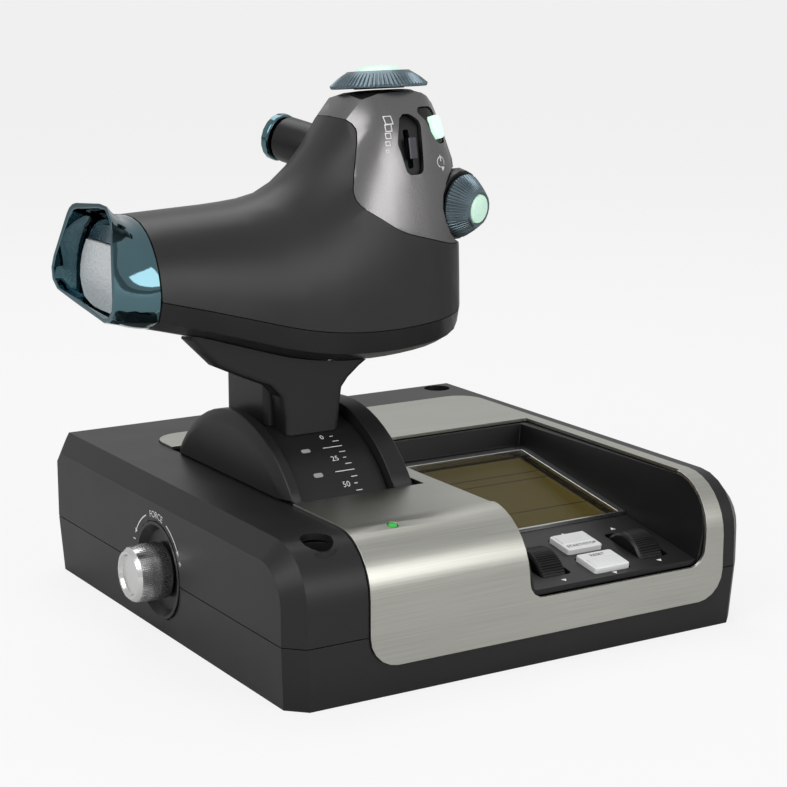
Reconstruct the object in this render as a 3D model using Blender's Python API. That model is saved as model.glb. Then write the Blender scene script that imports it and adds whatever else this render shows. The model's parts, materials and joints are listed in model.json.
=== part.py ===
"""Hand throttle on a desk base: square base with a sunk display, swinging lever with a grip.

Sizes are in millimetres and are turned into metres where each mesh is made.
X runs along the front, Y away from the user, Z up. The origin is the centre of the base's
underside. The lever stands upright at rest.
"""
import math

import bmesh
import bpy
from mathutils import Matrix, Vector
from mathutils.bvhtree import BVHTree

MM = 0.001
GAP = 0.3                 # between two pieces that touch
SLIP = 0.45               # between a moving piece and what guides it

# Base
BASE_W = 190.0
BASE_D = 197.0
PARTING_Z = 22.0          # joint between the lower and the upper shell
BASE_H = 54.5
WALL = 2.6
CORNER = 6.3              # chamfer on the sides and upright corners
BACK_CHAMFER = 4.0
ROLL_R = 20.0             # rolled front edge
DRAFT = 1.3               # lower shell narrows by this at the bottom
FOOT_R = 8.0
FOOT_H = 1.2              # pads are let into the underside and lie flush with it
DESK_HOLES = ((-77.0, -84.0), (79.5, 88.0))
DESK_HOLE_R = 2.6
DESK_COUNTERBORE_R = 5.6

# Steel fascia on the base
FASCIA_LEFT = -65.5
FASCIA_RIGHT = 83.0
FASCIA_BACK = 69.0
FASCIA_BOTTOM = 11.0
FASCIA_CORNER = 11.0
FASCIA_PROUD = 0.8
FASCIA_SUNK = 0.5

# Display tray
TRAY_LEFT = -5.5
TRAY_RIGHT = 78.0
TRAY_BACK = 18.5
TRAY_WALL = 2.6
TRAY_LEAN = 5.5           # how far the tray's side walls lean in from rim to floor
PANEL_Z = 42.5            # height of the sloping panel at y = 0
PANEL_SLOPE = 0.163
PANEL_LEFT = 1.8
PANEL_RIGHT = 72.2
PANEL_THICK = 2.0
LENS_FRONT = -55.5
LENS_BACK = 12.0
FRAME_W = 3.2
LIP_Z = 24.5

# Keys and wheels on the panel
KEY_X = 37.3
KEY_W = 15.2
KEY_D = 12.4
KEY_Y = (-71.3, -87.6)
KEY_PROUD = 1.8
KEY_TRAVEL = 1.2
WHEEL_R = 12.0
WHEEL_W = 11.0
WHEEL_Y = -79.0
WHEEL_OFFSET_X = 21.6
WHEEL_PROUD = 4.6
WHEEL_PIN_R = 1.5

# Lever and its drum
LEVER_X = -41.5
PIVOT_Y = 1.0
PIVOT_Z = 23.5
AXLE_R = 4.0
DRUM_R = 51.0
DRUM_W = 36.0
DRUM_WALL = 2.5
DRUM_FRONT_DEG = 80.0
DRUM_BACK_DEG = 84.0
HUB_R = 9.0
GUARD_R = 55.0
GUARD_FACE_R = 49.8
SLOT_LEFT = -64.0
SLOT_RIGHT = -15.0
SLOT_HALF = 48.0
GUARD_FLANGE = 2.5
STEM_W = 21.5
STEM_FRONT_Y = -17.5
STEM_SPLIT_Y = -9.5
STEM_BACK_Y = 21.5
ARM_W = 12.0
ARM_THICK = 5.4
PIN_R = 1.6              # pin that holds the grip on the arm
PIN_Z = 112.5

# Tension knob on the left face, in line with the lever's axle
KNOB_R = 10.3
KNOB_LENGTH = 14.0
DISH_R = 18.0
DISH_DEPTH = 3.0
SCREW_R = 2.5
SHOE_GAP = 0.8

# Grip: stations along X: (x, seam z, depth below seam, top z, half depth, squareness of the top)
GRIP_WALL = 2.6
GRIP_STATIONS = (
    (-103.0, 125.8, 12.0, 152.4, 27.5, 2.5),
    (-85.0, 121.2, 12.0, 153.2, 28.5, 2.5),
    (-66.0, 116.0, 12.6, 154.2, 29.5, 2.5),
    (-52.0, 112.2, 13.0, 156.2, 30.0, 2.5),
    (-44.0, 110.6, 13.2, 160.0, 30.5, 2.5),
    (-36.0, 109.4, 13.3, 166.5, 31.0, 2.6),
    (-29.0, 108.8, 13.5, 174.5, 31.0, 2.8),
    (-22.0, 108.4, 13.5, 185.0, 31.0, 3.4),
    (-17.0, 108.3, 13.6, 190.2, 31.0, 4.6),
    (-8.0, 108.6, 13.6, 191.2, 31.0, 6.5),
    (3.0, 109.6, 13.6, 191.3, 30.5, 6.5),
    (12.0, 110.8, 13.2, 191.2, 30.0, 6.5),
    (19.0, 112.4, 12.2, 190.4, 29.5, 5.5),
    (23.6, 113.4, 10.4, 187.8, 29.0, 4.5),
)
GRIP_Y = 1.0
HEAD_X = -1.0
HEAD_TOP_Z = 191.2
HEAD_TILT = 0.087         # the head's flat top falls towards the back
HEAD_NARROW = 12.0        # how much narrower the head is than the grip
END_START = 1.0           # the right end starts to round off here
TOP_LEAN = 6.6           # the right end leans in by this at the top
CAP_X = -120.5            # outer face of the chrome end cap
CAP_RECESS = 11.0
CAP_RIM = 2.0
CAP_SPLIT = 143.0         # between the bare plate and the reflector
CAP_INSET = 1.8           # plate and reflector stand clear of the wall by this

# Controls on the head
TOP_DIAL_R = 17.6
TOP_DIAL_TOP_R = 11.4
TOP_DIAL_H = 6.2
TOP_DIAL_LOW = 0.3        # dial's lower face above its seat
TOP_BUTTON_R = 9.4
SIDE_DIAL_R = 11.4
SIDE_DIAL_TOP_R = 6.4
SIDE_DIAL_H = 8.2
SIDE_BUTTON_R = 5.3
SIDE_DIAL_AT = (21.5, -18.5, 149.5)
SIDE_DIAL_AXIS = (0.373, -0.923, -0.087)
SIDE_COLLAR_R = 13.4
FIRE_AT = (13.5, -19.0, 179.4)       # on the line that meets the grip at the button's centre
FIRE_AXIS = (0.52, -0.80, 0.30)
FIRE_W = 6.4
FIRE_L = 8.6
FIRE_SPAN = (-4.2, 0.9)   # from its back to its face, measured from the grip's surface
SLIDER_AT = (-2.0, -22.5, 172.0)
SLIDER_AXIS = (0.05, -0.98, 0.18)
SLIDER_W = 3.4
SLIDER_L = 7.8
SLIDER_SPAN = (-1.4, 1.2)
SLIDER_TRAVEL = 2.6
HAT_AT = (-21.5, 37.0, 171.5)
HAT_AXIS = (-0.30, 0.94, 0.17)
HAT_R = 9.0
HAT_H = 5.0
HAT_STUB = 17.0

SEGMENTS = 18


# ---------------------------------------------------------------- materials
SOCKET_X = -20.0
SOCKET_Z = 12.0
LED_AT = (-48.0, -84.0, 53.6)
LED_AXIS = (0.0, -0.25, 0.97)
AXLE_LEFT = -75.5
AXLE_RIGHT = -9.0


def make_material(name, color, roughness, metallic=0.0):
    material = bpy.data.materials.new(name)
    material.use_nodes = True
    shader = material.node_tree.nodes["Principled BSDF"]
    shader.inputs["Base Color"].default_value = (*color, 1.0)
    shader.inputs["Roughness"].default_value = roughness
    shader.inputs["Metallic"].default_value = metallic
    return material


# ---------------------------------------------------------------- solids
def prism(points, axis, low, high):
    """Extrude a 2-D outline along an axis: X takes (y, z), Y takes (x, z), Z takes (x, y)."""
    def place(u, v, w):
        return {"X": (w, u, v), "Y": (u, w, v), "Z": (u, v, w)}[axis]

    bm = bmesh.new()
    rings = [[bm.verts.new(place(u, v, w)) for u, v in points] for w in (low, high)]
    count = len(points)
    for i in range(count):
        j = (i + 1) % count
        bm.faces.new((rings[0][i], rings[0][j], rings[1][j], rings[1][i]))
    bm.faces.new(rings[0])
    bm.faces.new(rings[1])
    bmesh.ops.recalc_face_normals(bm, faces=bm.faces)
    return bm


def box(low, high):
    return prism([(low[0], low[1]), (high[0], low[1]), (high[0], high[1]), (low[0], high[1])],
                 "Z", low[2], high[2])


def turned(profile, segments=SEGMENTS, closed=False):
    """Turn (radius, height) points round Z. A closed profile makes a ring."""
    bm = bmesh.new()
    rings = []
    for radius, height in profile:
        if radius < 1e-6:
            rings.append([bm.verts.new((0, 0, height))])
            continue
        angles = [2 * math.pi * i / segments for i in range(segments)]
        rings.append([bm.verts.new((radius * math.cos(a), radius * math.sin(a), height))
                      for a in angles])
    pairs = list(zip(rings, rings[1:]))
    if closed:
        pairs.append((rings[-1], rings[0]))
    for first, second in pairs:
        for i in range(segments):
            j = (i + 1) % segments
            corners = [first[i % len(first)], first[j % len(first)],
                       second[j % len(second)], second[i % len(second)]]
            corners = list(dict.fromkeys(corners))
            if len(corners) > 2:
                bm.faces.new(corners)
    for ring in (rings[0], rings[-1]):
        if not closed and len(ring) > 1:
            bm.faces.new(ring)
    bmesh.ops.recalc_face_normals(bm, faces=bm.faces)
    return bm


def loft(rings):
    bm = bmesh.new()
    rows = [[bm.verts.new(p) for p in ring] for ring in rings]
    count = len(rows[0])
    for first, second in zip(rows, rows[1:]):
        for i in range(count):
            j = (i + 1) % count
            bm.faces.new((first[i], first[j], second[j], second[i]))
    ends = [bm.faces.new(rows[0]), bm.faces.new(rows[-1])]
    if count > 8:
        bmesh.ops.poke(bm, faces=ends)
        bmesh.ops.triangulate(bm, faces=bm.faces)
    bmesh.ops.recalc_face_normals(bm, faces=bm.faces)
    return bm


def moved(bm, matrix):
    bm.transform(matrix)
    return bm


def axis_frame(point, axis):
    """Matrix that puts a solid turned round Z on another axis."""
    turn = Vector((0, 0, 1)).rotation_difference(Vector(axis).normalized())
    return Matrix.Translation(point) @ turn.to_matrix().to_4x4()


def rod(radius, low_x, high_x, y=PIVOT_Y, z=PIVOT_Z, segments=SEGMENTS):
    return moved(turned([(radius, 0.0), (radius, high_x - low_x)], segments),
                 axis_frame((low_x, y, z), (1, 0, 0)))


def post(radius, x, y, low, high, segments=16):
    return moved(turned([(radius, low), (radius, high)], segments), Matrix.Translation((x, y, 0)))


def rounded_box(low, high, radius, axis="Z", steps=3):
    """Box whose edges along one axis are rounded."""
    spans = {"X": (1, 2, 0), "Y": (0, 2, 1), "Z": (0, 1, 2)}[axis]
    u, v, w = spans
    outline = rounded_outline([(low[u], low[v]), (high[u], low[v]),
                               (high[u], high[v]), (low[u], high[v])], radius, steps)
    return prism(outline, axis, low[w], high[w])


def rounded_outline(corners, radius, steps=3):
    """Round every corner of a polygon. The radius is one value, or one for each corner."""
    radii = radius if isinstance(radius, (list, tuple)) else [radius] * len(corners)
    outline = []
    for i, corner in enumerate(corners):
        here = Vector(corner)
        to_last = (Vector(corners[i - 1]) - here).normalized()
        to_next = (Vector(corners[(i + 1) % len(corners)]) - here).normalized()
        half = to_last.angle(to_next) / 2
        reach = radii[i] / math.tan(half)
        centre = here + (to_last + to_next).normalized() * (radii[i] / math.sin(half))
        start = here + to_last * reach - centre
        finish = here + to_next * reach - centre
        for k in range(steps + 1):
            t = k / steps
            spread = start.lerp(finish, t)
            outline.append(tuple(centre + spread.normalized() * radii[i]))
    return outline


def combine(target, tool, operation):
    """Boolean of two meshes with the exact solver."""
    objects = []
    for bm in (target, tool):
        mesh = bpy.data.meshes.new("combine")
        bm.to_mesh(mesh)
        bm.free()
        objects.append(bpy.data.objects.new("combine", mesh))
        bpy.context.scene.collection.objects.link(objects[-1])
    modifier = objects[0].modifiers.new("boolean", "BOOLEAN")
    modifier.solver = "EXACT"
    modifier.operation = operation
    modifier.object = objects[1]
    depsgraph = bpy.context.evaluated_depsgraph_get()
    mesh = bpy.data.meshes.new_from_object(objects[0].evaluated_get(depsgraph))
    result = bmesh.new()
    result.from_mesh(mesh)
    for old in objects:
        bpy.data.objects.remove(old)
    bpy.data.meshes.remove(mesh)
    bmesh.ops.remove_doubles(result, verts=result.verts, dist=0.0005)
    bmesh.ops.dissolve_degenerate(result, edges=result.edges, dist=0.0005)
    return result


def cut(target, *tools):
    for tool in tools:
        target = combine(target, tool, "DIFFERENCE")
    return target


def common(target, tool):
    return combine(target, tool, "INTERSECT")


def fused(target, *tools):
    for tool in tools:
        target = combine(target, tool, "UNION")
    return target


def place(name, bm, material, pivot=(0, 0, 0), smooth_deg=35):
    """Make the object in metres with its origin on the pivot."""
    bm.transform(Matrix.Scale(MM, 4) @ Matrix.Translation(-Vector(pivot)))
    bmesh.ops.triangulate(bm, faces=[f for f in bm.faces if len(f.verts) > 4])
    mesh = bpy.data.meshes.new(name)
    bm.to_mesh(mesh)
    bm.free()
    mesh.materials.append(material)
    mesh.shade_smooth()
    mesh.set_sharp_from_angle(angle=math.radians(smooth_deg))
    obj = bpy.data.objects.new(name, mesh)
    obj.location = Vector(pivot) * MM
    bpy.context.scene.collection.objects.link(obj)
    return obj


# ---------------------------------------------------------------- shared outlines
def side_profile(inset, bottom):
    """Outline of the base from the side (y, z), with the rolled front edge."""
    front = -BASE_D / 2 + inset
    back = BASE_D / 2 - inset
    top = BASE_H - inset
    centre = (-BASE_D / 2 + ROLL_R, BASE_H - ROLL_R)
    points = [(front, bottom)]
    for i in range(7):
        angle = math.pi / 2 * i / 6
        radius = ROLL_R - inset
        points.append((centre[0] - radius * math.cos(angle), centre[1] + radius * math.sin(angle)))
    points += [(back - BACK_CHAMFER, top), (back, top - BACK_CHAMFER), (back, bottom)]
    return points


def base_block(inset, bottom):
    """The upper half of the base as a solid, its sides chamfered along the profile."""
    half = BASE_W / 2 - inset
    chamfer = CORNER - inset * 0.4
    inner = side_profile(inset + chamfer, bottom)
    outer = side_profile(inset, bottom)
    rings = [[(x, y, z) for y, z in outline]
             for x, outline in ((-half, inner), (-half + chamfer, outer),
                                (half - chamfer, outer), (half, inner))]
    return loft(rings)


def plan_outline(inset):
    w = BASE_W / 2 - inset
    d = BASE_D / 2 - inset
    c = CORNER
    return [(-w + c, -d), (w - c, -d), (w, -d + c), (w, d - c),
            (w - c, d), (-w + c, d), (-w, d - c), (-w, -d + c)]


def surface_point(distance, inset):
    """Point (y, z) on the fascia's path: along the top from the back, over the roll and down."""
    run = FASCIA_BACK + BASE_D / 2 - ROLL_R
    arc = ROLL_R * math.pi / 2
    radius = ROLL_R - inset
    centre = (-BASE_D / 2 + ROLL_R, BASE_H - ROLL_R)
    if distance <= run:
        return (FASCIA_BACK - distance, BASE_H - inset)
    if distance <= run + arc:
        angle = (distance - run) / ROLL_R
        return (centre[0] - radius * math.sin(angle), centre[1] + radius * math.cos(angle))
    return (-BASE_D / 2 + inset, centre[1] - (distance - run - arc))


def fascia_sheet(outer, inner, margin=0.0):
    """Sheet that follows the top and the rolled front, with rounded corners at both ends."""
    run = FASCIA_BACK + BASE_D / 2 - ROLL_R
    arc = ROLL_R * math.pi / 2
    length = run + arc + (BASE_H - ROLL_R - FASCIA_BOTTOM)
    radius = FASCIA_CORNER
    corner = [radius * (1 - math.cos(math.pi / 2 * k / 5)) for k in range(6)]
    stops = [-margin] + corner[1:] + [run + arc * k / 8 for k in range(9)]
    stops += [length - c for c in reversed(corner[1:])] + [length + margin]
    rings = []
    for stop in stops:
        edge = min(max(stop, 0.0), max(length - stop, 0.0), radius)
        inset = radius - math.sqrt(max(radius ** 2 - (radius - edge) ** 2, 0.0))
        inset = min(inset, radius - 0.4)
        left = FASCIA_LEFT + inset - margin
        right = FASCIA_RIGHT - inset + margin
        y0, z0 = surface_point(stop, -outer)
        y1, z1 = surface_point(stop, inner)
        rings.append([(left, y0, z0), (right, y0, z0), (right, y1, z1), (left, y1, z1)])
    return loft(rings)


def panel_height(y):
    return PANEL_Z + PANEL_SLOPE * y


def panel_frame(x, y):
    """Frame on the sloping panel: Z is the panel's normal, Y runs up the slope."""
    slope = math.atan(PANEL_SLOPE)
    return Matrix.Translation((x, y, panel_height(y))) @ Matrix.Rotation(slope, 4, "X")


def sloped_block(low_x, high_x, front, back, under, over):
    """Block between two planes parallel to the panel."""
    points = [(front, panel_height(front) + under), (back, panel_height(back) + under),
              (back, panel_height(back) + over), (front, panel_height(front) + over)]
    return prism(points, "X", low_x, high_x)


def tray_void(grow=0.0):
    """The open space of the tray, from its floor up past the rim and out to the front."""
    back = TRAY_BACK + grow
    rings = []
    for rise, lean in ((0.0, TRAY_LEAN), (40.0, -3.0)):
        front = -BASE_D / 2 - 5
        z_front = panel_height(front) + rise
        z_back = panel_height(back) + rise
        left = TRAY_LEFT + lean + 1.0 - grow
        right = TRAY_RIGHT - lean + grow
        y_back = back - (3.0 if rise == 0.0 else -4.0)
        rings.append([(left, front, z_front), (right, front, z_front),
                      (right, y_back, z_back), (left, y_back, z_back)])
    return loft(rings)


# ---------------------------------------------------------------- base pieces
def desk_hole_tools(low, radius):
    return [post(radius, x, y, low, BASE_H + 10) for x, y in DESK_HOLES]


def build_lower_shell(material):
    outer = loft([[(x, y, z) for x, y in plan_outline(inset)]
                  for z, inset in ((0.0, DRAFT), (PARTING_Z - GAP / 2, 0.0))])
    inner = loft([[(x, y, z) for x, y in plan_outline(inset + WALL)]
                  for z, inset in ((WALL, DRAFT), (PARTING_Z + 5, 0.0))])
    shell = cut(outer, inner)
    shell = cut(shell, rod(DISH_R + GAP, -BASE_W / 2 - 5, -BASE_W / 2 + 12))
    shell = cut(shell, fascia_sheet(8.0, FASCIA_SUNK + GAP, GAP))
    for x, y in DESK_HOLES:
        shell = fused(shell, post(DESK_COUNTERBORE_R + 1.8, x, y, WALL - 1, PARTING_Z - 4))
        shell = cut(shell, post(DESK_HOLE_R, x, y, -1, PARTING_Z + 1))
    shell = cut(shell, moved(turned([(9.2, 0), (9.2, 20)], 20),
                             axis_frame((SOCKET_X, BASE_D / 2 - 12, SOCKET_Z), (0, 1, 0))))
    for x, y in ((-1, -1), (1, -1), (-1, 1), (1, 1)):
        pocket = turned([(FOOT_R + GAP, -1.0), (FOOT_R + GAP, FOOT_H + GAP)], 16)
        shell = cut(shell, moved(pocket, foot_spot(x, y)))
    return place("lower_shell", shell, material)


def build_upper_shell(material):
    shell = base_block(0.0, PARTING_Z + GAP / 2)
    shell = cut(shell, base_block(WALL, PARTING_Z - 8))
    shell = cut(shell, rod(DISH_R + GAP, -BASE_W / 2 - 5, -BASE_W / 2 + 12))
    for x, y in DESK_HOLES:
        shell = fused(shell, post(DESK_COUNTERBORE_R + 1.8, x, y, PARTING_Z - 3.5, BASE_H - 3.4))
        shell = cut(shell, post(DESK_COUNTERBORE_R, x, y, PARTING_Z + 2, BASE_H + 5))
        shell = cut(shell, post(DESK_HOLE_R, x, y, PARTING_Z - 10, BASE_H))
    shell = cut(shell, fascia_sheet(8.0, FASCIA_SUNK + GAP, GAP))
    shell = cut(shell, moved(turned([(2.1, -6), (2.1, 6)], 12), axis_frame(LED_AT, LED_AXIS)))
    shell = cut(shell, box((SLOT_LEFT, PIVOT_Y - SLOT_HALF, 30), (SLOT_RIGHT, PIVOT_Y + SLOT_HALF, 60)))
    shell = cut(shell, box((TRAY_LEFT - TRAY_WALL - GAP, -BASE_D / 2 - 5, 10),
                           (TRAY_RIGHT + TRAY_WALL + GAP, TRAY_BACK + TRAY_WALL + GAP, 60)))
    return place("upper_shell", shell, material)


def build_fascia(material):
    sheet = fascia_sheet(FASCIA_PROUD, FASCIA_SUNK)
    sheet = cut(sheet, box((FASCIA_LEFT - 5, PIVOT_Y - SLOT_HALF, 50),
                           (SLOT_RIGHT + GUARD_FLANGE + GAP, PIVOT_Y + SLOT_HALF, 60)))
    corners = [(TRAY_LEFT, 70), (TRAY_LEFT + 4.0, LIP_Z), (TRAY_RIGHT - 4.0, LIP_Z), (TRAY_RIGHT, 70)]
    sheet = cut(sheet, prism(rounded_outline(corners, [1, 6, 6, 1], 4), "Y",
                             -BASE_D / 2 - 10, -BASE_D / 2 + ROLL_R))
    sheet = cut(sheet, rounded_box((TRAY_LEFT, -BASE_D / 2 + ROLL_R - 1, 45),
                                   (TRAY_RIGHT, TRAY_BACK, 60), 1.0))
    sheet = cut(sheet, moved(turned([(2.0, -6), (2.0, 6)], 12), axis_frame(LED_AT, LED_AXIS)))
    return place("fascia", sheet, material)


def build_tray(material):
    front = -BASE_D / 2 + 1.0
    path = [(y, z) for y, z in side_profile(FASCIA_SUNK + GAP, LIP_Z) if y < TRAY_BACK]
    back = TRAY_BACK + TRAY_WALL
    outline = [(back, panel_height(back) - 5.0)] + [(front, LIP_Z)] + path[1:]
    outline.append((back, BASE_H - FASCIA_SUNK - GAP))
    tray = prism(outline, "X", TRAY_LEFT - TRAY_WALL, TRAY_RIGHT + TRAY_WALL)
    tray = cut(tray, tray_void())
    tray = cut(tray, sloped_block(PANEL_LEFT - GAP, PANEL_RIGHT + GAP, -BASE_D / 2 - 3,
                                  LENS_BACK + GAP, -PANEL_THICK - GAP, 2.0))
    tray = cut(tray, sloped_block(PANEL_LEFT + 4, PANEL_RIGHT - 4, -BASE_D / 2 + 6,
                                  LENS_BACK - 4, -12.0, 2.0))
    return place("display_tray", tray, material)


def key_frame(index):
    return panel_frame(KEY_X, KEY_Y[index])


def build_panel(material):
    panel = sloped_block(PANEL_LEFT, PANEL_RIGHT, -BASE_D / 2 + 1.5, LENS_FRONT - GAP,
                         -PANEL_THICK, 0.0)
    for index in range(2):
        half_x, half_y = KEY_W / 2 + SLIP, KEY_D / 2 + SLIP
        hole = rounded_box((-half_x, -half_y, -9), (half_x, half_y, 9), 1.2)
        panel = cut(panel, moved(hole, key_frame(index)))
    for side in (-1, 1):
        x = KEY_X + side * WHEEL_OFFSET_X
        slot = rounded_box((-WHEEL_W / 2 - 1, -WHEEL_R + 0.6, -9), (WHEEL_W / 2 + 1, WHEEL_R - 0.6, 9), 1.5)
        panel = cut(panel, moved(slot, panel_frame(x, WHEEL_Y)))
    return place("tray_panel", panel, material)


def build_keys(materials):
    for index, name in enumerate(("start_button", "reset_button")):
        frame = key_frame(index)
        key = rounded_box((-KEY_W / 2, -KEY_D / 2, -PANEL_THICK - 1.5),
                          (KEY_W / 2, KEY_D / 2, KEY_PROUD), 1.0)
        place(name, moved(key, frame), materials["white_key"], frame.translation)


def wheel_centre(side):
    frame = panel_frame(KEY_X + side * WHEEL_OFFSET_X, WHEEL_Y)
    return frame @ Vector((0, 0, WHEEL_PROUD - WHEEL_R))


def build_wheels(materials):
    for side, name in ((-1, "wheel_left"), (1, "wheel_right")):
        centre = wheel_centre(side)
        half = WHEEL_W / 2
        profile = [(0, -half - 3), (WHEEL_PIN_R, -half - 3), (WHEEL_PIN_R, -half),
                   (WHEEL_R - 1, -half), (WHEEL_R, -half + 1), (WHEEL_R, half - 1),
                   (WHEEL_R - 1, half), (WHEEL_PIN_R, half), (WHEEL_PIN_R, half + 3), (0, half + 3)]
        wheel = moved(turned(profile), axis_frame(centre, (1, 0, 0)))
        place(name, wheel, materials["soft_black"], centre)
        cheek = half + 0.8
        outer = cheek + 1.6
        x, y, z = centre
        cradle = box((x - outer, y - 4, WALL + GAP), (x + outer, y + 4, z + 3.4))
        inner = box((x - cheek, y - 9, WALL + 2.6), (x + cheek, y + 9, z + 9))
        cradle = cut(cradle, inner,
                     rod(WHEEL_PIN_R + 0.3, centre.x - 20, centre.x + 20, centre.y, centre.z, 12))
        place("wheel_cradle_" + name[6:], cradle, materials["inner_plastic"])


def build_display(materials):
    frame_low = -PANEL_THICK
    outer = sloped_block(PANEL_LEFT, PANEL_RIGHT, LENS_FRONT, LENS_BACK, frame_low, 1.4)
    hole = sloped_block(PANEL_LEFT + FRAME_W, PANEL_RIGHT - FRAME_W, LENS_FRONT + 0.8,
                        LENS_BACK - FRAME_W, frame_low - 2, 3.0)
    place("lens_frame", cut(outer, hole), materials["bright_trim"])
    lens = sloped_block(PANEL_LEFT + FRAME_W + GAP, PANEL_RIGHT - FRAME_W - GAP,
                        LENS_FRONT + 0.8 + GAP, LENS_BACK - FRAME_W - GAP, -0.9, 0.9)
    place("display_lens", lens, materials["clear"])
    module = sloped_block(PANEL_LEFT + 5, PANEL_RIGHT - 5, LENS_FRONT + 2, LENS_BACK - 5, -5.0, -1.2)
    place("lcd_module", module, materials["amber"])
    board = sloped_block(PANEL_LEFT + 6, PANEL_RIGHT - 6, LENS_FRONT + 4, LENS_BACK - 6, -7.2, -5.4)
    place("display_board", board, materials["board"])


def build_guards(material):
    """Half-moon guards that stand on both sides of the lever's slot."""
    base_z = BASE_H + GAP

    def arc(radius, floor):
        reach = math.asin((floor - PIVOT_Z) / radius)
        steps = 20
        angles = [reach + (math.pi - 2 * reach) * k / steps for k in range(steps + 1)]
        return [(PIVOT_Y - radius * math.cos(a), PIVOT_Z + radius * math.sin(a)) for a in angles]

    drum_left = LEVER_X - DRUM_W / 2 - SLIP
    drum_right = LEVER_X + DRUM_W / 2 + SLIP
    for name, inner, wall, outer in (
            ("lever_guard_left", drum_left, SLOT_LEFT + GAP, SLOT_LEFT - GUARD_FLANGE),
            ("lever_guard_right", drum_right, SLOT_RIGHT - GAP, SLOT_RIGHT + GUARD_FLANGE)):
        body_low = base_z - 14
        half = SLOT_HALF - GAP
        foot = [(PIVOT_Y + half, body_low), (PIVOT_Y - half, body_low)]
        crown = [(max(min(y, PIVOT_Y + half), PIVOT_Y - half), z) for y, z in arc(GUARD_R, base_z)]
        body = prism(crown + foot, "X", min(inner, wall), max(inner, wall))
        rings = []
        for x, radius in ((wall, GUARD_R), (outer, GUARD_FACE_R)):
            rings.append([(x, y, z) for y, z in arc(radius, base_z)])
        overlap = wall + (0.5 if inner > wall else -0.5)
        rings.insert(0, [(overlap, y, z) for y, z in arc(GUARD_R, base_z)])
        place(name, fused(body, loft(rings)), material)


def build_dish(material):
    face = -BASE_W / 2
    profile = [(SCREW_R + 1.5, DISH_DEPTH), (DISH_R - 3.5, DISH_DEPTH), (DISH_R - 1.2, 0.0), (DISH_R, 0.0),
               (DISH_R, DISH_DEPTH + 2.2), (SCREW_R + 1.5, DISH_DEPTH + 2.2)]
    dish = moved(turned(profile, 24, closed=True), axis_frame((face - 0.2, PIVOT_Y, PIVOT_Z), (1, 0, 0)))
    return place("knob_dish", dish, material)


def build_tension(materials):
    face = -BASE_W / 2 + DISH_DEPTH - 0.6
    profile = [(0, -KNOB_LENGTH + 1.2), (KNOB_R - 3.4, -KNOB_LENGTH + 1.2), (KNOB_R - 2.6, -KNOB_LENGTH),
               (KNOB_R - 1.6, -KNOB_LENGTH), (KNOB_R - 0.4, -KNOB_LENGTH + 1.4),
               (KNOB_R, -1.0), (KNOB_R - 0.8, 0.0), (0, 0.0)]
    knob = moved(turned(profile, 20), axis_frame((face, PIVOT_Y, PIVOT_Z), (1, 0, 0)))
    pivot = (face, PIVOT_Y, PIVOT_Z)
    place("tension_knob", knob, materials["silver"], pivot)
    flange = AXLE_LEFT - 3.0
    place("tension_screw", rod(SCREW_R, face + GAP, flange - 1.6, segments=16), materials["steel"], pivot)
    shoe_high = flange - SHOE_GAP
    shoe = box((shoe_high - 6, PIVOT_Y - 7, PIVOT_Z - 7), (shoe_high, PIVOT_Y + 7, PIVOT_Z + 7))
    shoe = cut(shoe, rod(SCREW_R + 0.3, shoe_high - 10, shoe_high + 5, segments=16))
    place("brake_shoe", shoe, materials["dark_rubber"], (shoe_high, PIVOT_Y, PIVOT_Z))


def build_bearings(materials):
    for name, low in (("bearing_left", -73.5), ("bearing_right", -18.5)):
        block = box((low, PIVOT_Y - 8, WALL + GAP), (low + 5, PIVOT_Y + 8, PIVOT_Z + 8))
        block = cut(block, rod(AXLE_R + 0.06, low - 3, low + 9))
        place(name, block, materials["inner_plastic"])
    sensor = box((-12.2, PIVOT_Y - 9, WALL + GAP), (-6.5, PIVOT_Y + 9, PIVOT_Z + 9))
    sensor = cut(sensor, rod(AXLE_R + 0.4, -14, AXLE_RIGHT + 0.6))
    place("lever_sensor", sensor, materials["board"])


def foot_spot(x, y):
    """Centre of the pad on side x (-1 left, 1 right) and side y (-1 front, 1 back)."""
    return Matrix.Translation((x * (BASE_W / 2 - 28), y * (BASE_D / 2 - 20), 0))


def build_inner_base(materials):
    plate = rounded_box((-70, -82, WALL + GAP), (0, -56, WALL + GAP + 3.2), 4)
    place("ballast_plate", plate, materials["steel"])
    board = box((2, 28, 9), (76, 78, 10.6))
    place("main_board", board, materials["board"])
    frame = cut(box((2, 28, WALL + GAP), (76, 78, 9 - GAP)), box((5, 31, 0), (73, 75, 20)))
    place("board_frame", frame, materials["inner_plastic"])
    for name, x, y in (("foot_front_left", -1, -1), ("foot_front_right", 1, -1),
                       ("foot_back_left", -1, 1), ("foot_back_right", 1, 1)):
        pad = moved(turned([(FOOT_R, 0.0), (FOOT_R, FOOT_H)], 16), foot_spot(x, y))
        place(name, pad, materials["dark_rubber"])
    profile = [(9.0, 0.0), (9.0, 9.0), (5.2, 9.0), (5.2, 2.0), (0.0, 2.0), (0.0, 0.0)]
    socket = moved(turned(profile[::-1], 20), axis_frame((SOCKET_X, BASE_D / 2 - 9.6, SOCKET_Z), (0, 1, 0)))
    place("link_socket", socket, materials["soft_black"])
    lens = [(1.7, -1.4), (1.7, 0.7), (1.2, 1.1), (0, 1.2)]
    led = moved(turned([(0, -1.4)] + lens, 12), axis_frame(LED_AT, LED_AXIS))
    place("status_led", led, materials["green_light"])


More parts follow.
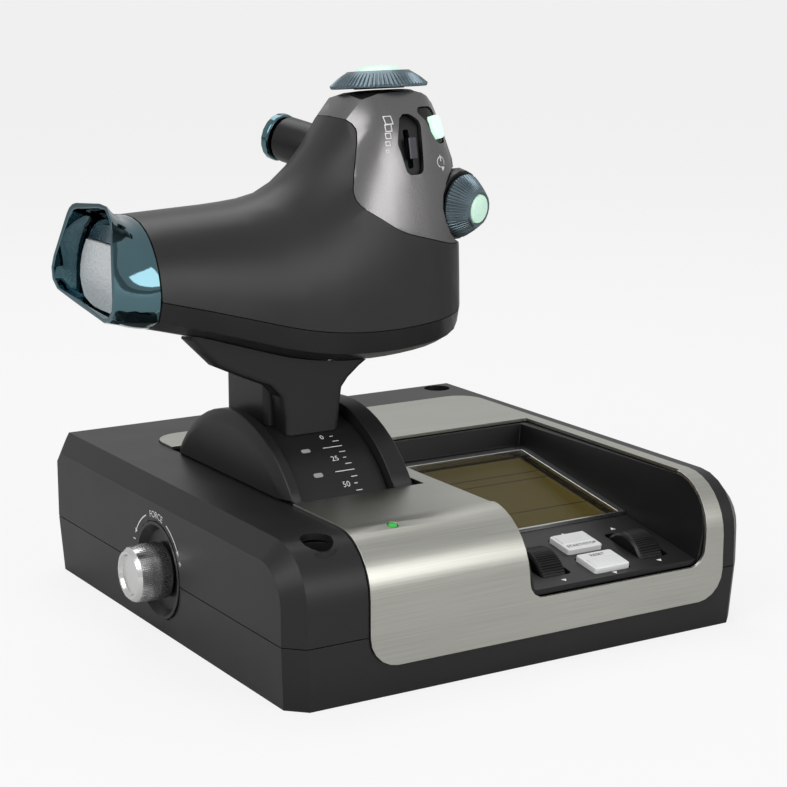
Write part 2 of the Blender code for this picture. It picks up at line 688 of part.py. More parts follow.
# ---------------------------------------------------------------- lever pieces
def build_drum(material):
    def arc(radius, start, finish, steps):
        return [(PIVOT_Y - radius * math.sin(math.radians(a)), PIVOT_Z + radius * math.cos(math.radians(a)))
                for a in [start + (finish - start) * k / steps for k in range(steps + 1)]]

    half = DRUM_W / 2
    outline = arc(DRUM_R, -DRUM_BACK_DEG, DRUM_FRONT_DEG, 32)
    outline += arc(HUB_R, DRUM_FRONT_DEG + 30, 360 - DRUM_BACK_DEG - 30, 8)
    drum = prism(outline, "X", LEVER_X - half, LEVER_X + half)
    void = arc(DRUM_R - DRUM_WALL, -DRUM_BACK_DEG + 5, DRUM_FRONT_DEG - 5, 32)
    void += arc(HUB_R + 4, DRUM_FRONT_DEG - 5, -DRUM_BACK_DEG + 5, 8)
    drum = cut(drum, prism(void, "X", LEVER_X - half + DRUM_WALL, LEVER_X + half - DRUM_WALL))
    drum = cut(drum, rod(AXLE_R + 0.4, LEVER_X - 40, LEVER_X + 40))
    arm_low = PIVOT_Z + HUB_R - 1
    drum = cut(drum, box((LEVER_X - ARM_W / 2 - GAP, PIVOT_Y - ARM_THICK / 2 - GAP, arm_low),
                         (LEVER_X + ARM_W / 2 + GAP, PIVOT_Y + ARM_THICK / 2 + GAP, PIVOT_Z + DRUM_R + 5)))
    return place("scale_drum", drum, material, (LEVER_X, PIVOT_Y, PIVOT_Z))


def build_lever_core(materials):
    axle_profile = [(0, AXLE_LEFT - 3), (8.0, AXLE_LEFT - 3), (8.0, AXLE_LEFT), (AXLE_R, AXLE_LEFT),
                    (AXLE_R, AXLE_RIGHT), (0, AXLE_RIGHT)]
    axle = moved(turned(axle_profile), axis_frame((0, PIVOT_Y, PIVOT_Z), (1, 0, 0)))
    place("axle", axle, materials["steel"], (0, PIVOT_Y, PIVOT_Z))
    arm = box((LEVER_X - ARM_W / 2, PIVOT_Y - ARM_THICK / 2, PIVOT_Z + HUB_R - 1 + GAP),
              (LEVER_X + ARM_W / 2, PIVOT_Y + ARM_THICK / 2, 117))
    arm = cut(arm, rod(PIN_R + 0.3, LEVER_X - 20, LEVER_X + 20, PIVOT_Y, PIN_Z, 12))
    place("lever_arm", arm, materials["steel"], (LEVER_X, PIVOT_Y, PIVOT_Z))


def build_stem(material):
    left = LEVER_X - STEM_W / 2
    right = LEVER_X + STEM_W / 2
    outline = [(left, 60), (left, 78), (left - 1.2, 85.5), (left - 5.5, 89.8), (left - 16, 94.3),
               (left - 26, 99), (left - 36.5, 109.5), (left - 30, 130), (right + 22, 130),
               (right + 16.5, 97.6), (right + 10, 93.4), (right + 5.3, 89.6), (right + 2.8, 86.5),
               (right + 1.8, 80), (right, 60)]
    front = prism(outline, "Y", STEM_FRONT_Y, STEM_SPLIT_Y - GAP / 2)
    edges = [e for e in front.edges if all(abs(v.co.y - STEM_FRONT_Y) < 1e-6 for v in e.verts)]
    bmesh.ops.bevel(front, geom=edges, offset=2.4, segments=2, affect="EDGES", profile=0.5)
    block = rounded_box((left - 3.6, STEM_SPLIT_Y + GAP / 2, 60), (right + 1.8, STEM_BACK_Y, 130), 2.5)
    arm_hole = box((LEVER_X - ARM_W / 2 - GAP, PIVOT_Y - ARM_THICK / 2 - GAP, 50),
                   (LEVER_X + ARM_W / 2 + GAP, PIVOT_Y + ARM_THICK / 2 + GAP, 140))
    block = cut(block, arm_hole)
    for name, piece in (("stem_front", front), ("stem_rear", block)):
        piece = cut(piece, rod(DRUM_R + GAP, LEVER_X - 60, LEVER_X + 60, segments=64))
        piece = cut(piece, grip_solid(-GAP))
        place(name, piece, material, (LEVER_X, PIVOT_Y, PIVOT_Z))


def smooth(t):
    t = min(max(t, 0.0), 1.0)
    return t * t * (3 - 2 * t)


def station(x):
    """Grip values at x, on a smooth curve through GRIP_STATIONS."""
    rows = GRIP_STATIONS
    i = max(k for k in range(len(rows) - 1) if rows[k][0] <= x or k == 0)
    p1, p2 = rows[i], rows[i + 1]
    p0 = rows[max(i - 1, 0)]
    p3 = rows[min(i + 2, len(rows) - 1)]
    span = p2[0] - p1[0]
    t = (x - p1[0]) / span
    values = []
    for k in range(1, len(p1)):
        m1 = (p2[k] - p0[k]) / (p2[0] - p0[0]) * span if p0 is not p1 else p2[k] - p1[k]
        m2 = (p3[k] - p1[k]) / (p3[0] - p1[0]) * span if p3 is not p2 else p2[k] - p1[k]
        values.append((2 * t ** 3 - 3 * t ** 2 + 1) * p1[k] + (t ** 3 - 2 * t ** 2 + t) * m1
                      + (3 * t ** 2 - 2 * t ** 3) * p2[k] + (t ** 3 - t ** 2) * m2)
    return values


def even_points(points, count):
    """Resample an open outline at equal distances."""
    lengths = [0.0]
    for a, b in zip(points, points[1:]):
        lengths.append(lengths[-1] + math.dist(a, b))
    result = []
    k = 0
    for i in range(count + 1):
        target = lengths[-1] * i / count
        while k < len(points) - 2 and lengths[k + 1] < target:
            k += 1
        t = (target - lengths[k]) / (lengths[k + 1] - lengths[k])
        result.append(tuple(a + (b - a) * t for a, b in zip(points[k], points[k + 1])))
    return result


def grip_section(x, inset, upper=16, lower=8):
    """Closed outline of the grip at station x, made smaller by inset."""
    seam, drop, top, half, square = station(x)
    end_span = GRIP_STATIONS[-1][0] + 1.0 - END_START
    past = max(x - END_START, 0.0) / end_span
    close = (1 - min(past, 0.995) ** 2.6) ** (1 / 2.6)
    head = smooth((x + 30) / 16)

    def point(angle):
        c, s = math.cos(angle), math.sin(angle)
        power = 2 / square if s > 0 else 2 / 2.6
        height = (top - inset - seam) if s > 0 else (drop - inset)
        across = math.copysign(abs(c) ** power, c)
        z = seam + height * math.copysign(abs(s) ** power, s)
        rise = min(max((z - 120) / 70, 0.0), 1.0)
        width = (half - HEAD_NARROW * rise ** 1.6) * close - inset
        y = GRIP_Y - width * across
        z -= HEAD_TILT * (y - GRIP_Y) * head * smooth((z - 150) / 40)
        lean = TOP_LEAN * smooth(past * 1.1) * smooth((z - 160) / 32)
        return (x - lean, y, z)

    dense = 120
    top_half = even_points([point(math.pi * k / dense) for k in range(dense + 1)], upper)
    bottom = even_points([point(math.pi + math.pi * k / dense) for k in range(dense + 1)], lower)
    return top_half[:-1] + bottom[:-1]


def grip_solid(inset, upper=16, lower=8):
    start = GRIP_STATIONS[0][0] + (inset if inset > 0 else 0)
    finish = GRIP_STATIONS[-1][0] - inset
    steps = 20
    xs = [start + (finish - start) * (1 - (1 - k / steps) ** 1.25) for k in range(steps + 1)]
    xs = [min(x, GRIP_STATIONS[-1][0]) for x in xs]
    return loft([grip_section(x, inset, upper, lower) for x in xs])


def seam_prism(above):
    shift = GAP / 2 if above else -GAP / 2
    far = 230 if above else 60
    first, last = GRIP_STATIONS[0][0], GRIP_STATIONS[-1][0]
    xs = [first + (last - first) * k / 14 for k in range(15)]
    line = [(x, station(x)[0] + shift) for x in xs]
    line = [(first - 20, line[0][1])] + line + [(last + 20, line[-1][1])]
    return prism(line + [(last + 20, far), (first - 20, far)], "Y", -80, 80)


def panel_prism(grow=0.0):
    """The control panel's share of the head, seen from the front."""
    corners = [(-60, 182.2 - grow), (-26, 183.6 - grow), (-19.6 - grow, 181.6),
               (-27.2 - grow, 154.5), (-9.5, 143.0 - grow), (12, 137.2 - grow), (60, 133.5 - grow),
               (60, 230), (-60, 230)]
    return prism(rounded_outline(corners, [1, 4, 4, 7, 30, 30, 1, 1, 1], 4), "Y", -80, 80)


def surface_prism(outline, point, axis, low=-14.0, high=8.0):
    """Prism along a surface's outward normal: its outline is (right, up) round the point."""
    normal = Vector(axis).normalized()
    right = Vector((-normal.y, normal.x, 0)).normalized()
    up = normal.cross(right)
    frame = Matrix((right, up, normal)).transposed().to_4x4()
    return moved(prism(outline, "Z", low, high), Matrix.Translation(point) @ frame)


def on_grip(spot, axis):
    """The point of the grip's surface that lies on a line through spot."""
    bm = grip_solid(0.0)
    surface = BVHTree.FromBMesh(bm)
    bm.free()
    normal = Vector(axis).normalized()
    hit = surface.ray_cast(Vector(spot) + normal * 25, -normal, 60)[0]
    return hit


def slider_outline(grow=0.0):
    corners = [(-1.5 - grow, 15.5 + grow), (5.6 + grow, 9.5), (3.6 + grow, -9.2 - grow),
               (-2.8 - grow, -9.2 - grow), (-5.2 - grow, 2.0)]
    return rounded_outline(corners, [4.0, 4.5, 2.4, 2.4, 5.0], 4)


def fire_outline(grow=0.0):
    corners = [(-7.5 - grow, 8.5 + grow), (1.5 + grow, 7.5 + grow),
               (5.6 + grow, -5.6 - grow), (-2.6 - grow, -6.0 - grow)]
    return rounded_outline(corners, [2.0, 3.0, 3.2, 3.0], 3)


def build_grip(materials):
    pivot = (LEVER_X, PIVOT_Y, PIVOT_Z)
    slider_at, fire_at = on_grip(SLIDER_AT, SLIDER_AXIS), on_grip(FIRE_AT, FIRE_AXIS)
    tools = {
        "collar": lambda: moved(turned([(SIDE_COLLAR_R + GAP, -40), (SIDE_COLLAR_R + GAP, 20)]),
                                axis_frame(SIDE_DIAL_AT, SIDE_DIAL_AXIS)),
        "hat": lambda: moved(turned([(HAT_R - 0.4 + GAP, -HAT_STUB - 12), (HAT_R - 0.4 + GAP, 20)]),
                             axis_frame(HAT_AT, HAT_AXIS)),
    }
    skin = cut(grip_solid(0.0), grip_solid(GRIP_WALL))
    skin = cut(skin, tools["collar"](), tools["hat"]())
    upper = common(skin.copy(), seam_prism(True))
    lower = common(skin, seam_prism(False))
    panel = common(upper.copy(), panel_prism())
    upper = cut(upper, panel_prism(GAP))
    panel = cut(panel, surface_prism(slider_outline(GAP), slider_at, SLIDER_AXIS),
                surface_prism(fire_outline(GAP), fire_at, FIRE_AXIS))
    arm_hole = box((LEVER_X - ARM_W / 2 - GAP, PIVOT_Y - ARM_THICK / 2 - GAP, 80),
                   (LEVER_X + ARM_W / 2 + GAP, PIVOT_Y + ARM_THICK / 2 + GAP, 118))
    lower = cut(lower, arm_hole)
    place("grip_upper_shell", upper, materials["shell_black"], pivot)
    place("grip_lower_shell", lower, materials["shell_black"], pivot)
    place("control_panel", panel, materials["panel_gray"], pivot)


def cap_outline(t):
    """End cap outline between the grip's end (t = 0) and the ring's face (t = 1), as (y, z)."""
    corners = [(-25.6, 160.4), (9.5, 157.0), (30.0, 131.5), (26.0, 125.2), (-19.0, 118.6), (-25.6, 122.5)]
    ring = rounded_outline(corners, [6.5, 12.0, 7.0, 7.0, 6.5, 6.5], 5)
    section = [(y, z) for _, y, z in grip_section(GRIP_STATIONS[0][0], 0.0)]
    centre = (1.0, 136.5)
    flare = t ** 1.7
    return [tuple(c + (1 - flare) * a * math.cos(g) + flare * b * math.cos(g) if axis == 0 else
                  c + (1 - flare) * a * math.sin(g) + flare * b * math.sin(g)
                  for axis, c in enumerate(centre))
            for g, a, b in ((g, reach(section, centre, g), reach(ring, centre, g))
                            for g in [2 * math.pi * k / 40 for k in range(40)])]


def reach(outline, centre, angle):
    """Distance from the centre to the outline in one direction."""
    direction = Vector((math.cos(angle), math.sin(angle)))
    best = 0.0
    for i, a in enumerate(outline):
        b = outline[(i + 1) % len(outline)]
        p = Vector(a) - Vector(centre)
        q = Vector(b) - Vector(a)
        det = direction.x * q.y - direction.y * q.x
        if abs(det) < 1e-9:
            continue
        distance = (p.x * q.y - p.y * q.x) / det
        along = (p.x * direction.y - p.y * direction.x) / det
        if -1e-6 <= along <= 1 + 1e-6 and distance > best:
            best = distance
    return best


def shrink(outline, amount, centre=(1.0, 136.5)):
    result = []
    for y, z in outline:
        ray = Vector((y - centre[0], z - centre[1]))
        ray -= ray.normalized() * amount
        result.append((centre[0] + ray.x, centre[1] + ray.y))
    return result


def build_end_cap(materials):
    pivot = (LEVER_X, PIVOT_Y, PIVOT_Z)
    inner_x = GRIP_STATIONS[0][0] - GAP
    steps = 7
    rings = []
    for k in range(steps + 1):
        t = k / steps
        rings.append([(inner_x + (CAP_X - inner_x) * t, y, z) for y, z in cap_outline(t)])
    cap = loft(rings)
    depth_share = CAP_RECESS / (inner_x - CAP_X)
    recess = [[(CAP_X - 2, y, z) for y, z in shrink(cap_outline(1.0), CAP_RIM)]]
    for k in range(5):
        t = 1 - depth_share * k / 4
        recess.append([(inner_x + (CAP_X - inner_x) * t, y, z) for y, z in shrink(cap_outline(t), CAP_RIM)])
    place("end_cap", cut(cap, loft(recess)), materials["chrome"], pivot)
    floor = CAP_X + CAP_RECESS
    outline = shrink(cap_outline(1 - depth_share), CAP_RIM + CAP_INSET)
    for name, low, high, thick, finish in (("cap_plate", CAP_SPLIT + GAP, 200, 1.4, "chrome"),
                                           ("cap_reflector", 90, CAP_SPLIT - GAP, 1.8, "white_key")):
        inside = loft([[(x, y, z) for y, z in outline] for x in (floor - thick, floor - GAP)])
        piece = common(inside, box((floor - 9, -60, low), (floor + 9, 60, high)))
        place(name, piece, materials[finish], pivot)


def build_head_controls(materials):
    top_axis = Vector((0, HEAD_TILT, 1)).normalized()
    seat = Vector((HEAD_X, GRIP_Y + 1.5, HEAD_TOP_Z + 0.3))
    frame = axis_frame(seat, top_axis)
    boss = turned([(TOP_BUTTON_R, 0.0), (TOP_BUTTON_R, TOP_DIAL_LOW + 0.9)])
    place("top_collar", moved(boss, frame), materials["soft_black"])
    inner = TOP_BUTTON_R + 0.5
    low, high = TOP_DIAL_LOW, TOP_DIAL_LOW + TOP_DIAL_H
    ring = [(inner, low), (TOP_DIAL_R - 0.4, low), (TOP_DIAL_R, low + 0.4), (TOP_DIAL_R, low + 1.0),
            (TOP_DIAL_TOP_R, high), (inner, high)]
    place("top_dial", moved(turned(ring, 24, closed=True), frame), materials["blue_gray"], seat)
    dome = [(0, low + 1.2), (TOP_BUTTON_R, low + 1.2), (TOP_BUTTON_R, high - 0.4),
            (TOP_BUTTON_R - 2, high + 1.1), (TOP_BUTTON_R - 5, high + 1.9), (0, high + 2.2)]
    place("top_dial_button", moved(turned(dome), frame), materials["lit_green"], seat)

    seat = Vector(SIDE_DIAL_AT)
    frame = axis_frame(seat, SIDE_DIAL_AXIS)
    collar = [(0, -12.0), (SIDE_COLLAR_R - 3.0, -12.0), (SIDE_COLLAR_R, -4.0),
              (SIDE_COLLAR_R - 0.6, -0.5), (0, -0.5)]
    place("side_collar", moved(turned(collar), frame), materials["soft_black"])
    inner = SIDE_BUTTON_R + 0.4
    ring = [(inner, 0.0), (SIDE_DIAL_R - 0.3, 0.0), (SIDE_DIAL_R, 0.3), (SIDE_DIAL_R, 1.2),
            (SIDE_DIAL_TOP_R, SIDE_DIAL_H), (inner, SIDE_DIAL_H)]
    place("side_dial", moved(turned(ring, 20, closed=True), frame), materials["blue_gray"], seat)
    dome = [(0, 1.4), (SIDE_BUTTON_R, 1.4), (SIDE_BUTTON_R, SIDE_DIAL_H),
            (SIDE_BUTTON_R - 1.2, SIDE_DIAL_H + 0.8), (0, SIDE_DIAL_H + 1.1)]
    place("side_dial_button", moved(turned(dome), frame), materials["lit_green"], seat)


def build_hat(materials):
    frame = axis_frame(HAT_AT, HAT_AXIS)
    stub = [(0, -HAT_STUB - 6), (HAT_R - 2.6, -HAT_STUB - 6), (HAT_R - 0.4, -HAT_STUB + 4),
            (HAT_R - 0.4, -1.2), (HAT_R - 1.2, -0.6), (5.2, -0.6), (5.2, -5.6), (0, -5.6)]
    place("hat_stub", moved(turned(stub), frame), materials["shell_black"], HAT_AT)
    gimbal = [(2.3, -5.0), (4.2, -5.0), (4.2, -2.6), (2.3, -2.6)]
    place("hat_gimbal", moved(turned(gimbal, 16, closed=True), frame), materials["steel"], HAT_AT)
    cap = [(0, -4.4), (1.6, -4.4), (1.6, 0.7), (HAT_R - 0.6, 0.7), (HAT_R, 1.4), (HAT_R, HAT_H - 1.2),
           (HAT_R - 1.4, HAT_H), (HAT_R - 3.4, HAT_H), (HAT_R - 4.6, HAT_H - 1.2), (0, HAT_H - 1.4)]
    place("hat_cap", moved(turned(cap), frame), materials["chrome"], HAT_AT)


def build_thumb_controls(materials):
    pivot = (LEVER_X, PIVOT_Y, PIVOT_Z)
    slider_at, fire_at = on_grip(SLIDER_AT, SLIDER_AXIS), on_grip(FIRE_AT, FIRE_AXIS)
    layer = cut(grip_solid(2.0), grip_solid(4.4))
    track = common(layer, surface_prism(slider_outline(), slider_at, SLIDER_AXIS))
    slot = upright(SLIDER_W / 2 - 0.5, SLIDER_L / 2 + SLIDER_TRAVEL + 0.5, 0.8)
    track = cut(track, surface_prism(slot, slider_at, SLIDER_AXIS))
    place("slider_track", track, materials["soft_black"], pivot)
    knob = surface_prism(upright(SLIDER_W / 2, SLIDER_L / 2, 0.6), slider_at, SLIDER_AXIS, *SLIDER_SPAN)
    place("slider_knob", knob, materials["soft_black"], slider_at)
    layer = cut(grip_solid(0.7), grip_solid(3.0))
    bezel = common(layer, surface_prism(fire_outline(), fire_at, FIRE_AXIS))
    bezel = cut(bezel, surface_prism(upright(FIRE_W / 2 + SLIP, FIRE_L / 2 + SLIP, 2.4), fire_at, FIRE_AXIS))
    place("fire_bezel", bezel, materials["soft_black"], pivot)
    lens = surface_prism(upright(FIRE_W / 2, FIRE_L / 2, 2.0), fire_at, FIRE_AXIS, *FIRE_SPAN)
    place("fire_button", lens, materials["lit_green"], fire_at)


def upright(half_width, half_length, radius):
    """Rounded rectangle that stands along the surface's own up direction."""
    corners = [(-half_width, -half_length), (half_width, -half_length),
               (half_width, half_length), (-half_width, half_length)]
    return rounded_outline(corners, radius, 4)


def build_grip_inside(materials):
    pivot = (LEVER_X, PIVOT_Y, PIVOT_Z)
    board = box((-14, GRIP_Y - 1, 120), (14, GRIP_Y + 0.6, 165))
    place("grip_board", board, materials["board"], pivot)
    pin = rod(PIN_R, LEVER_X - 17, LEVER_X + 17, PIVOT_Y, PIN_Z, 12)
    place("arm_pin", pin, materials["steel"], pivot)


def main():
    for obj in list(bpy.data.objects):
        bpy.data.objects.remove(obj)
    materials = {
        "shell_black": make_material("shell_black", (0.045, 0.045, 0.047), 0.48),
        "soft_black": make_material("soft_black", (0.02, 0.02, 0.022), 0.55),
        "brushed_steel": make_material("brushed_steel", (0.36, 0.355, 0.34), 0.34, 1.0),
        "panel_gray": make_material("panel_gray", (0.16, 0.16, 0.165), 0.38, 0.7),
        "silver": make_material("silver", (0.75, 0.76, 0.78), 0.28, 1.0),
        "chrome": make_material("chrome", (0.42, 0.52, 0.55), 0.08, 1.0),
        "bright_trim": make_material("bright_trim", (0.72, 0.73, 0.74), 0.12, 1.0),
        "blue_gray": make_material("blue_gray", (0.18, 0.24, 0.29), 0.3, 0.8),
        "lit_green": make_material("lit_green", (0.82, 1.0, 0.86), 0.4),
        "green_light": make_material("green_light", (0.1, 0.8, 0.2), 0.3),
        "white_key": make_material("white_key", (0.85, 0.86, 0.86), 0.4),
        "clear": make_material("clear", (0.6, 0.6, 0.55), 0.08),
        "amber": make_material("amber", (0.23, 0.18, 0.05), 0.35),
        "inner_plastic": make_material("inner_plastic", (0.12, 0.12, 0.12), 0.6),
        "board": make_material("board", (0.03, 0.16, 0.07), 0.5),
        "steel": make_material("steel", (0.55, 0.55, 0.56), 0.3, 1.0),
        "dark_rubber": make_material("dark_rubber", (0.02, 0.02, 0.02), 0.8),
    }
    build_lower_shell(materials["shell_black"])
    build_upper_shell(materials["shell_black"])
    build_fascia(materials["brushed_steel"])
    build_tray(materials["soft_black"])
    build_panel(materials["panel_gray"])
    build_keys(materials)
    build_wheels(materials)
    build_display(materials)
    build_guards(materials["shell_black"])
    build_dish(materials["shell_black"])
    build_tension(materials)
    build_bearings(materials)
    build_inner_base(materials)
    build_drum(materials["soft_black"])
    build_lever_core(materials)
    build_stem(materials["shell_black"])
    build_grip(materials)
    build_end_cap(materials)
    build_head_controls(materials)
    build_hat(materials)
    build_thumb_controls(materials)
    build_grip_inside(materials)


main()
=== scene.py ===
# %% [markdown]
# # A desk-top hand throttle
# The object is a square base with a sunk display, and a lever that swings on a drum and carries a
# hand grip with dials, a slider and a hat. Its real shapes and joints come from a packed CAD model.
# This script loads that model as a fixed frame and gives every piece its finish, its ribs and its
# printed signs.

import json
import math

import bmesh
import bpy
from mathutils import Matrix, Vector
from mathutils.bvhtree import BVHTree


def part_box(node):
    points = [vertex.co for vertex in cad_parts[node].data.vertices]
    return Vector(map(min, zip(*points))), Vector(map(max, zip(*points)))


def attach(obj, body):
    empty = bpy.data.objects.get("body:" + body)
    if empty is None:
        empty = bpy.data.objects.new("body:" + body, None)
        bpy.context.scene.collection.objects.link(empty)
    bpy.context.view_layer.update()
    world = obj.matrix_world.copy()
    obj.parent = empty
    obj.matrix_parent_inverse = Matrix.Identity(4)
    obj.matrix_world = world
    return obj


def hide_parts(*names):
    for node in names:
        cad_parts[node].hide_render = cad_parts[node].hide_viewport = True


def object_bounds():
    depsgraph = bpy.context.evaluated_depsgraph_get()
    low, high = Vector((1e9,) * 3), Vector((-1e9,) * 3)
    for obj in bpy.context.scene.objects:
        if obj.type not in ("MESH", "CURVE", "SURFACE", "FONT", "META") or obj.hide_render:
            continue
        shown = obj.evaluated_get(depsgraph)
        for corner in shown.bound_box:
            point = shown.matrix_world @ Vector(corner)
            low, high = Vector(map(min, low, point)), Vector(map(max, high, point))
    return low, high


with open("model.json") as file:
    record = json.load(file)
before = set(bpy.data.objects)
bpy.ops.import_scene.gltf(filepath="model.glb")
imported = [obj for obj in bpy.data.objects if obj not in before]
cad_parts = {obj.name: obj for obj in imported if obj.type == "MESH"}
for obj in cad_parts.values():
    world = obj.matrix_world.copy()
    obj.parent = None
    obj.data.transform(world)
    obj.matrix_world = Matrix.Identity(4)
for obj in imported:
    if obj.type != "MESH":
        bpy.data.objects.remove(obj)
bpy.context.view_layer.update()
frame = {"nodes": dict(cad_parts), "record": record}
MM = 0.001
body_of = {node: body for body, nodes in frame["record"]["behaviour"]["bodies"].items() for node in nodes}
slot_of = {part["node"]: part["material_slot"] for part in frame["record"]["subparts"]}

# %% [markdown]
# ## Writing shader maths as plain Python
# A procedural finish is a small calculation at each point of a surface. Drawn as nodes it is hard to
# read, so a socket is wrapped in a class that takes part in arithmetic: an expression on it adds the
# Math nodes by itself. The forms that start with r are for a number on the left, as in 1 - mask.

# %% Signals
class Signal:
    """One output socket of a node tree. Arithmetic on it adds Math nodes."""

    def __init__(self, maker, socket):
        self.maker, self.socket = maker, socket

    def math(self, operation, first, second=0.0):
        return self.maker.node("ShaderNodeMath", {"operation": operation}, {0: first, 1: second})

    def __add__(self, other):
        return self.math("ADD", self, other)

    def __sub__(self, other):
        return self.math("SUBTRACT", self, other)

    def __rsub__(self, other):
        return self.math("SUBTRACT", other, self)

    def __mul__(self, other):
        return self.math("MULTIPLY", self, other)

    def __gt__(self, other):
        return self.math("GREATER_THAN", self, other)

    def __lt__(self, other):
        return self.math("LESS_THAN", self, other)

    def larger(self, other):
        return self.math("MAXIMUM", self, other)

    __radd__ = __add__
    __rmul__ = __mul__


class Nodes:
    """A node tree under construction."""

    def __init__(self, tree):
        self.tree = tree

    def feed(self, target, sockets):
        """Links or sets each socket, by its name or number."""
        for key, value in sockets.items():
            if isinstance(value, Signal):
                self.tree.links.new(value.socket, target.inputs[key])
            else:
                target.inputs[key].default_value = value

    def node(self, kind, settings=None, sockets=None, out=0):
        made = self.tree.nodes.new(kind)
        for key, value in (settings or {}).items():
            setattr(made, key, value)
        self.feed(made, sockets or {})
        return Signal(self, made.outputs[out])


print("a signal can do:", ", ".join(name.strip("_") for name in vars(Signal) if name.startswith("__r")))

# %% [markdown]
# ## A finish
# A finish is a material whose Principled shader starts with even values. Its methods then let a signal
# drive one of them: the colour, the gloss or the relief. Every signal starts from Object coordinates,
# so a pattern stays on its piece when the piece moves. The trial at the end counts the nodes that one
# line of arithmetic adds.

# %% Finishes
class Finish(Nodes):
    """A material under construction, with its Principled shader and its Object coordinates."""

    def __init__(self, name, colour, roughness, metallic=0.0, **fixed):
        self.material = bpy.data.materials.new(name)
        self.material.use_nodes = True
        self.material.diffuse_color = (*colour, 1.0)
        super().__init__(self.material.node_tree)
        self.surface = self.tree.nodes["Principled BSDF"]
        self.feed(self.surface, {"Base Color": (*colour, 1.0), "Roughness": roughness, "Metallic": metallic})
        self.feed(self.surface, {key.replace("_", " "): value for key, value in fixed.items()})
        self.place = self.node("ShaderNodeTexCoord", out="Object")

    def grain(self, scale, stretch=(1, 1, 1), detail=2.0):
        """Noise with `scale` cells a metre, stretched along each axis."""
        spot = self.node("ShaderNodeMapping", None, {"Vector": self.place, "Scale": stretch})
        return self.node("ShaderNodeTexNoise", None, {"Vector": spot, "Scale": scale, "Detail": detail})

    def along(self, axis):
        """The place along an axis: 0, 1 or 2, in metres."""
        return self.node("ShaderNodeSeparateXYZ", None, {0: self.place}, out=axis)

    def blend(self, mask, low, high):
        """Mixes two colours, each of which is three numbers or a signal."""
        low, high = (colour if isinstance(colour, Signal) else (*colour, 1) for colour in (low, high))
        return self.node("ShaderNodeMix", {"data_type": "RGBA"}, {0: mask, 6: low, 7: high}, out=2)

    def tint(self, signal, low, high):
        self.feed(self.surface, {"Base Color": self.blend(signal, low, high)})

    def roughen(self, signal, low, high):
        self.feed(self.surface, {"Roughness": signal * (high - low) + low})

    def relief(self, height, strength, depth):
        bump = self.node("ShaderNodeBump", None, {"Height": height, "Strength": strength, "Distance": depth})
        self.feed(self.surface, {"Normal": bump})


trial = Finish("trial", (0.5, 0.5, 0.5), 0.5)
start_count = len(trial.tree.nodes)
trial.feed(trial.surface, {"Roughness": 1 - trial.grain(10) * 0.5})
print("1 - grain * 0.5 adds", len(trial.tree.nodes) - start_count, "nodes")
bpy.data.materials.remove(trial.material)

# %% [markdown]
# ## The moulded plastics
# The shells are dark grey ABS from a spark-eroded mould, which leaves a fine, even grain. A noise of
# about 0.6 mm cells drives a very shallow bump, and a slower one lets the gloss drift, because a
# perfectly even gloss looks like paint. The grip has the same grain but is a little smoother, as it is
# polished by the hand.

# %% Plastic finishes
finishes = {}


def moulded(name, colour, low, high, cells=1700, depth=0.00004):
    finish = Finish(name, colour, low, Specular_IOR_Level=0.32)
    drift = finish.grain(38, detail=3.0)
    finish.tint(drift, [c * 0.82 for c in colour], [c * 1.22 for c in colour])
    finish.roughen(drift, low, high)
    finish.relief(finish.grain(cells), 0.32, depth)
    finishes[name] = finish.material


moulded("shell_black", (0.0130, 0.0130, 0.0136), 0.34, 0.46)
moulded("grip_gray", (0.0215, 0.0213, 0.0218), 0.34, 0.44, cells=2100, depth=0.00003)
moulded("soft_black", (0.0085, 0.0085, 0.0090), 0.32, 0.42)
moulded("drum_gray", (0.0125, 0.0126, 0.0132), 0.36, 0.46)
moulded("tray_black", (0.0105, 0.0105, 0.0112), 0.26, 0.36)
moulded("inner_plastic", (0.030, 0.030, 0.030), 0.50, 0.62)
moulded("dark_rubber", (0.010, 0.010, 0.010), 0.70, 0.85, cells=900)
moulded("white_key", (0.86, 0.87, 0.87), 0.30, 0.42, cells=1200)
moulded("print_white", (0.80, 0.80, 0.80), 0.50, 0.60)
moulded("window_gray", (0.36, 0.36, 0.37), 0.30, 0.40)
moulded("print_dark", (0.030, 0.030, 0.032), 0.50, 0.60)
print("plastics:", len(finishes))

# %% [markdown]
# ## The metals and the chrome
# The fascia is a real steel sheet, brushed from side to side. Brushing is a noise squeezed hard across
# the brush and stretched along it, and it drives colour, gloss and a hair of bump together. The end
# cap is plastic with a tinted mirror coat, so it has no grain, only a slow ripple from the mould.
# The grip's control panel is sprayed with metallic paint, whose flakes show as a very fine sparkle.

# %% Metal finishes
steel = Finish("brushed_steel", (0.46, 0.46, 0.42), 0.34, 1.0)
strokes = steel.grain(1.0, (26, 4200, 4200), 4.0)
haze = steel.grain(1.0, (9, 60, 60), 2.0)
steel.tint(strokes * 0.75 + haze * 0.25, (0.30, 0.30, 0.27), (0.60, 0.60, 0.55))
steel.roughen(strokes, 0.24, 0.44)
steel.relief(strokes, 0.35, 0.00003)
finishes["brushed_steel"] = steel.material


def plated(name, colour, roughness, ripple=0.05, **fixed):
    finish = Finish(name, colour, roughness, 1.0, **fixed)
    wave = finish.grain(60, detail=1.0)
    finish.tint(wave, [c * 0.9 for c in colour], [min(c * 1.1, 1) for c in colour])
    finish.roughen(finish.grain(420), roughness * 0.8, roughness * 1.3)
    finish.relief(wave, ripple, 0.0004)
    finishes[name] = finish.material


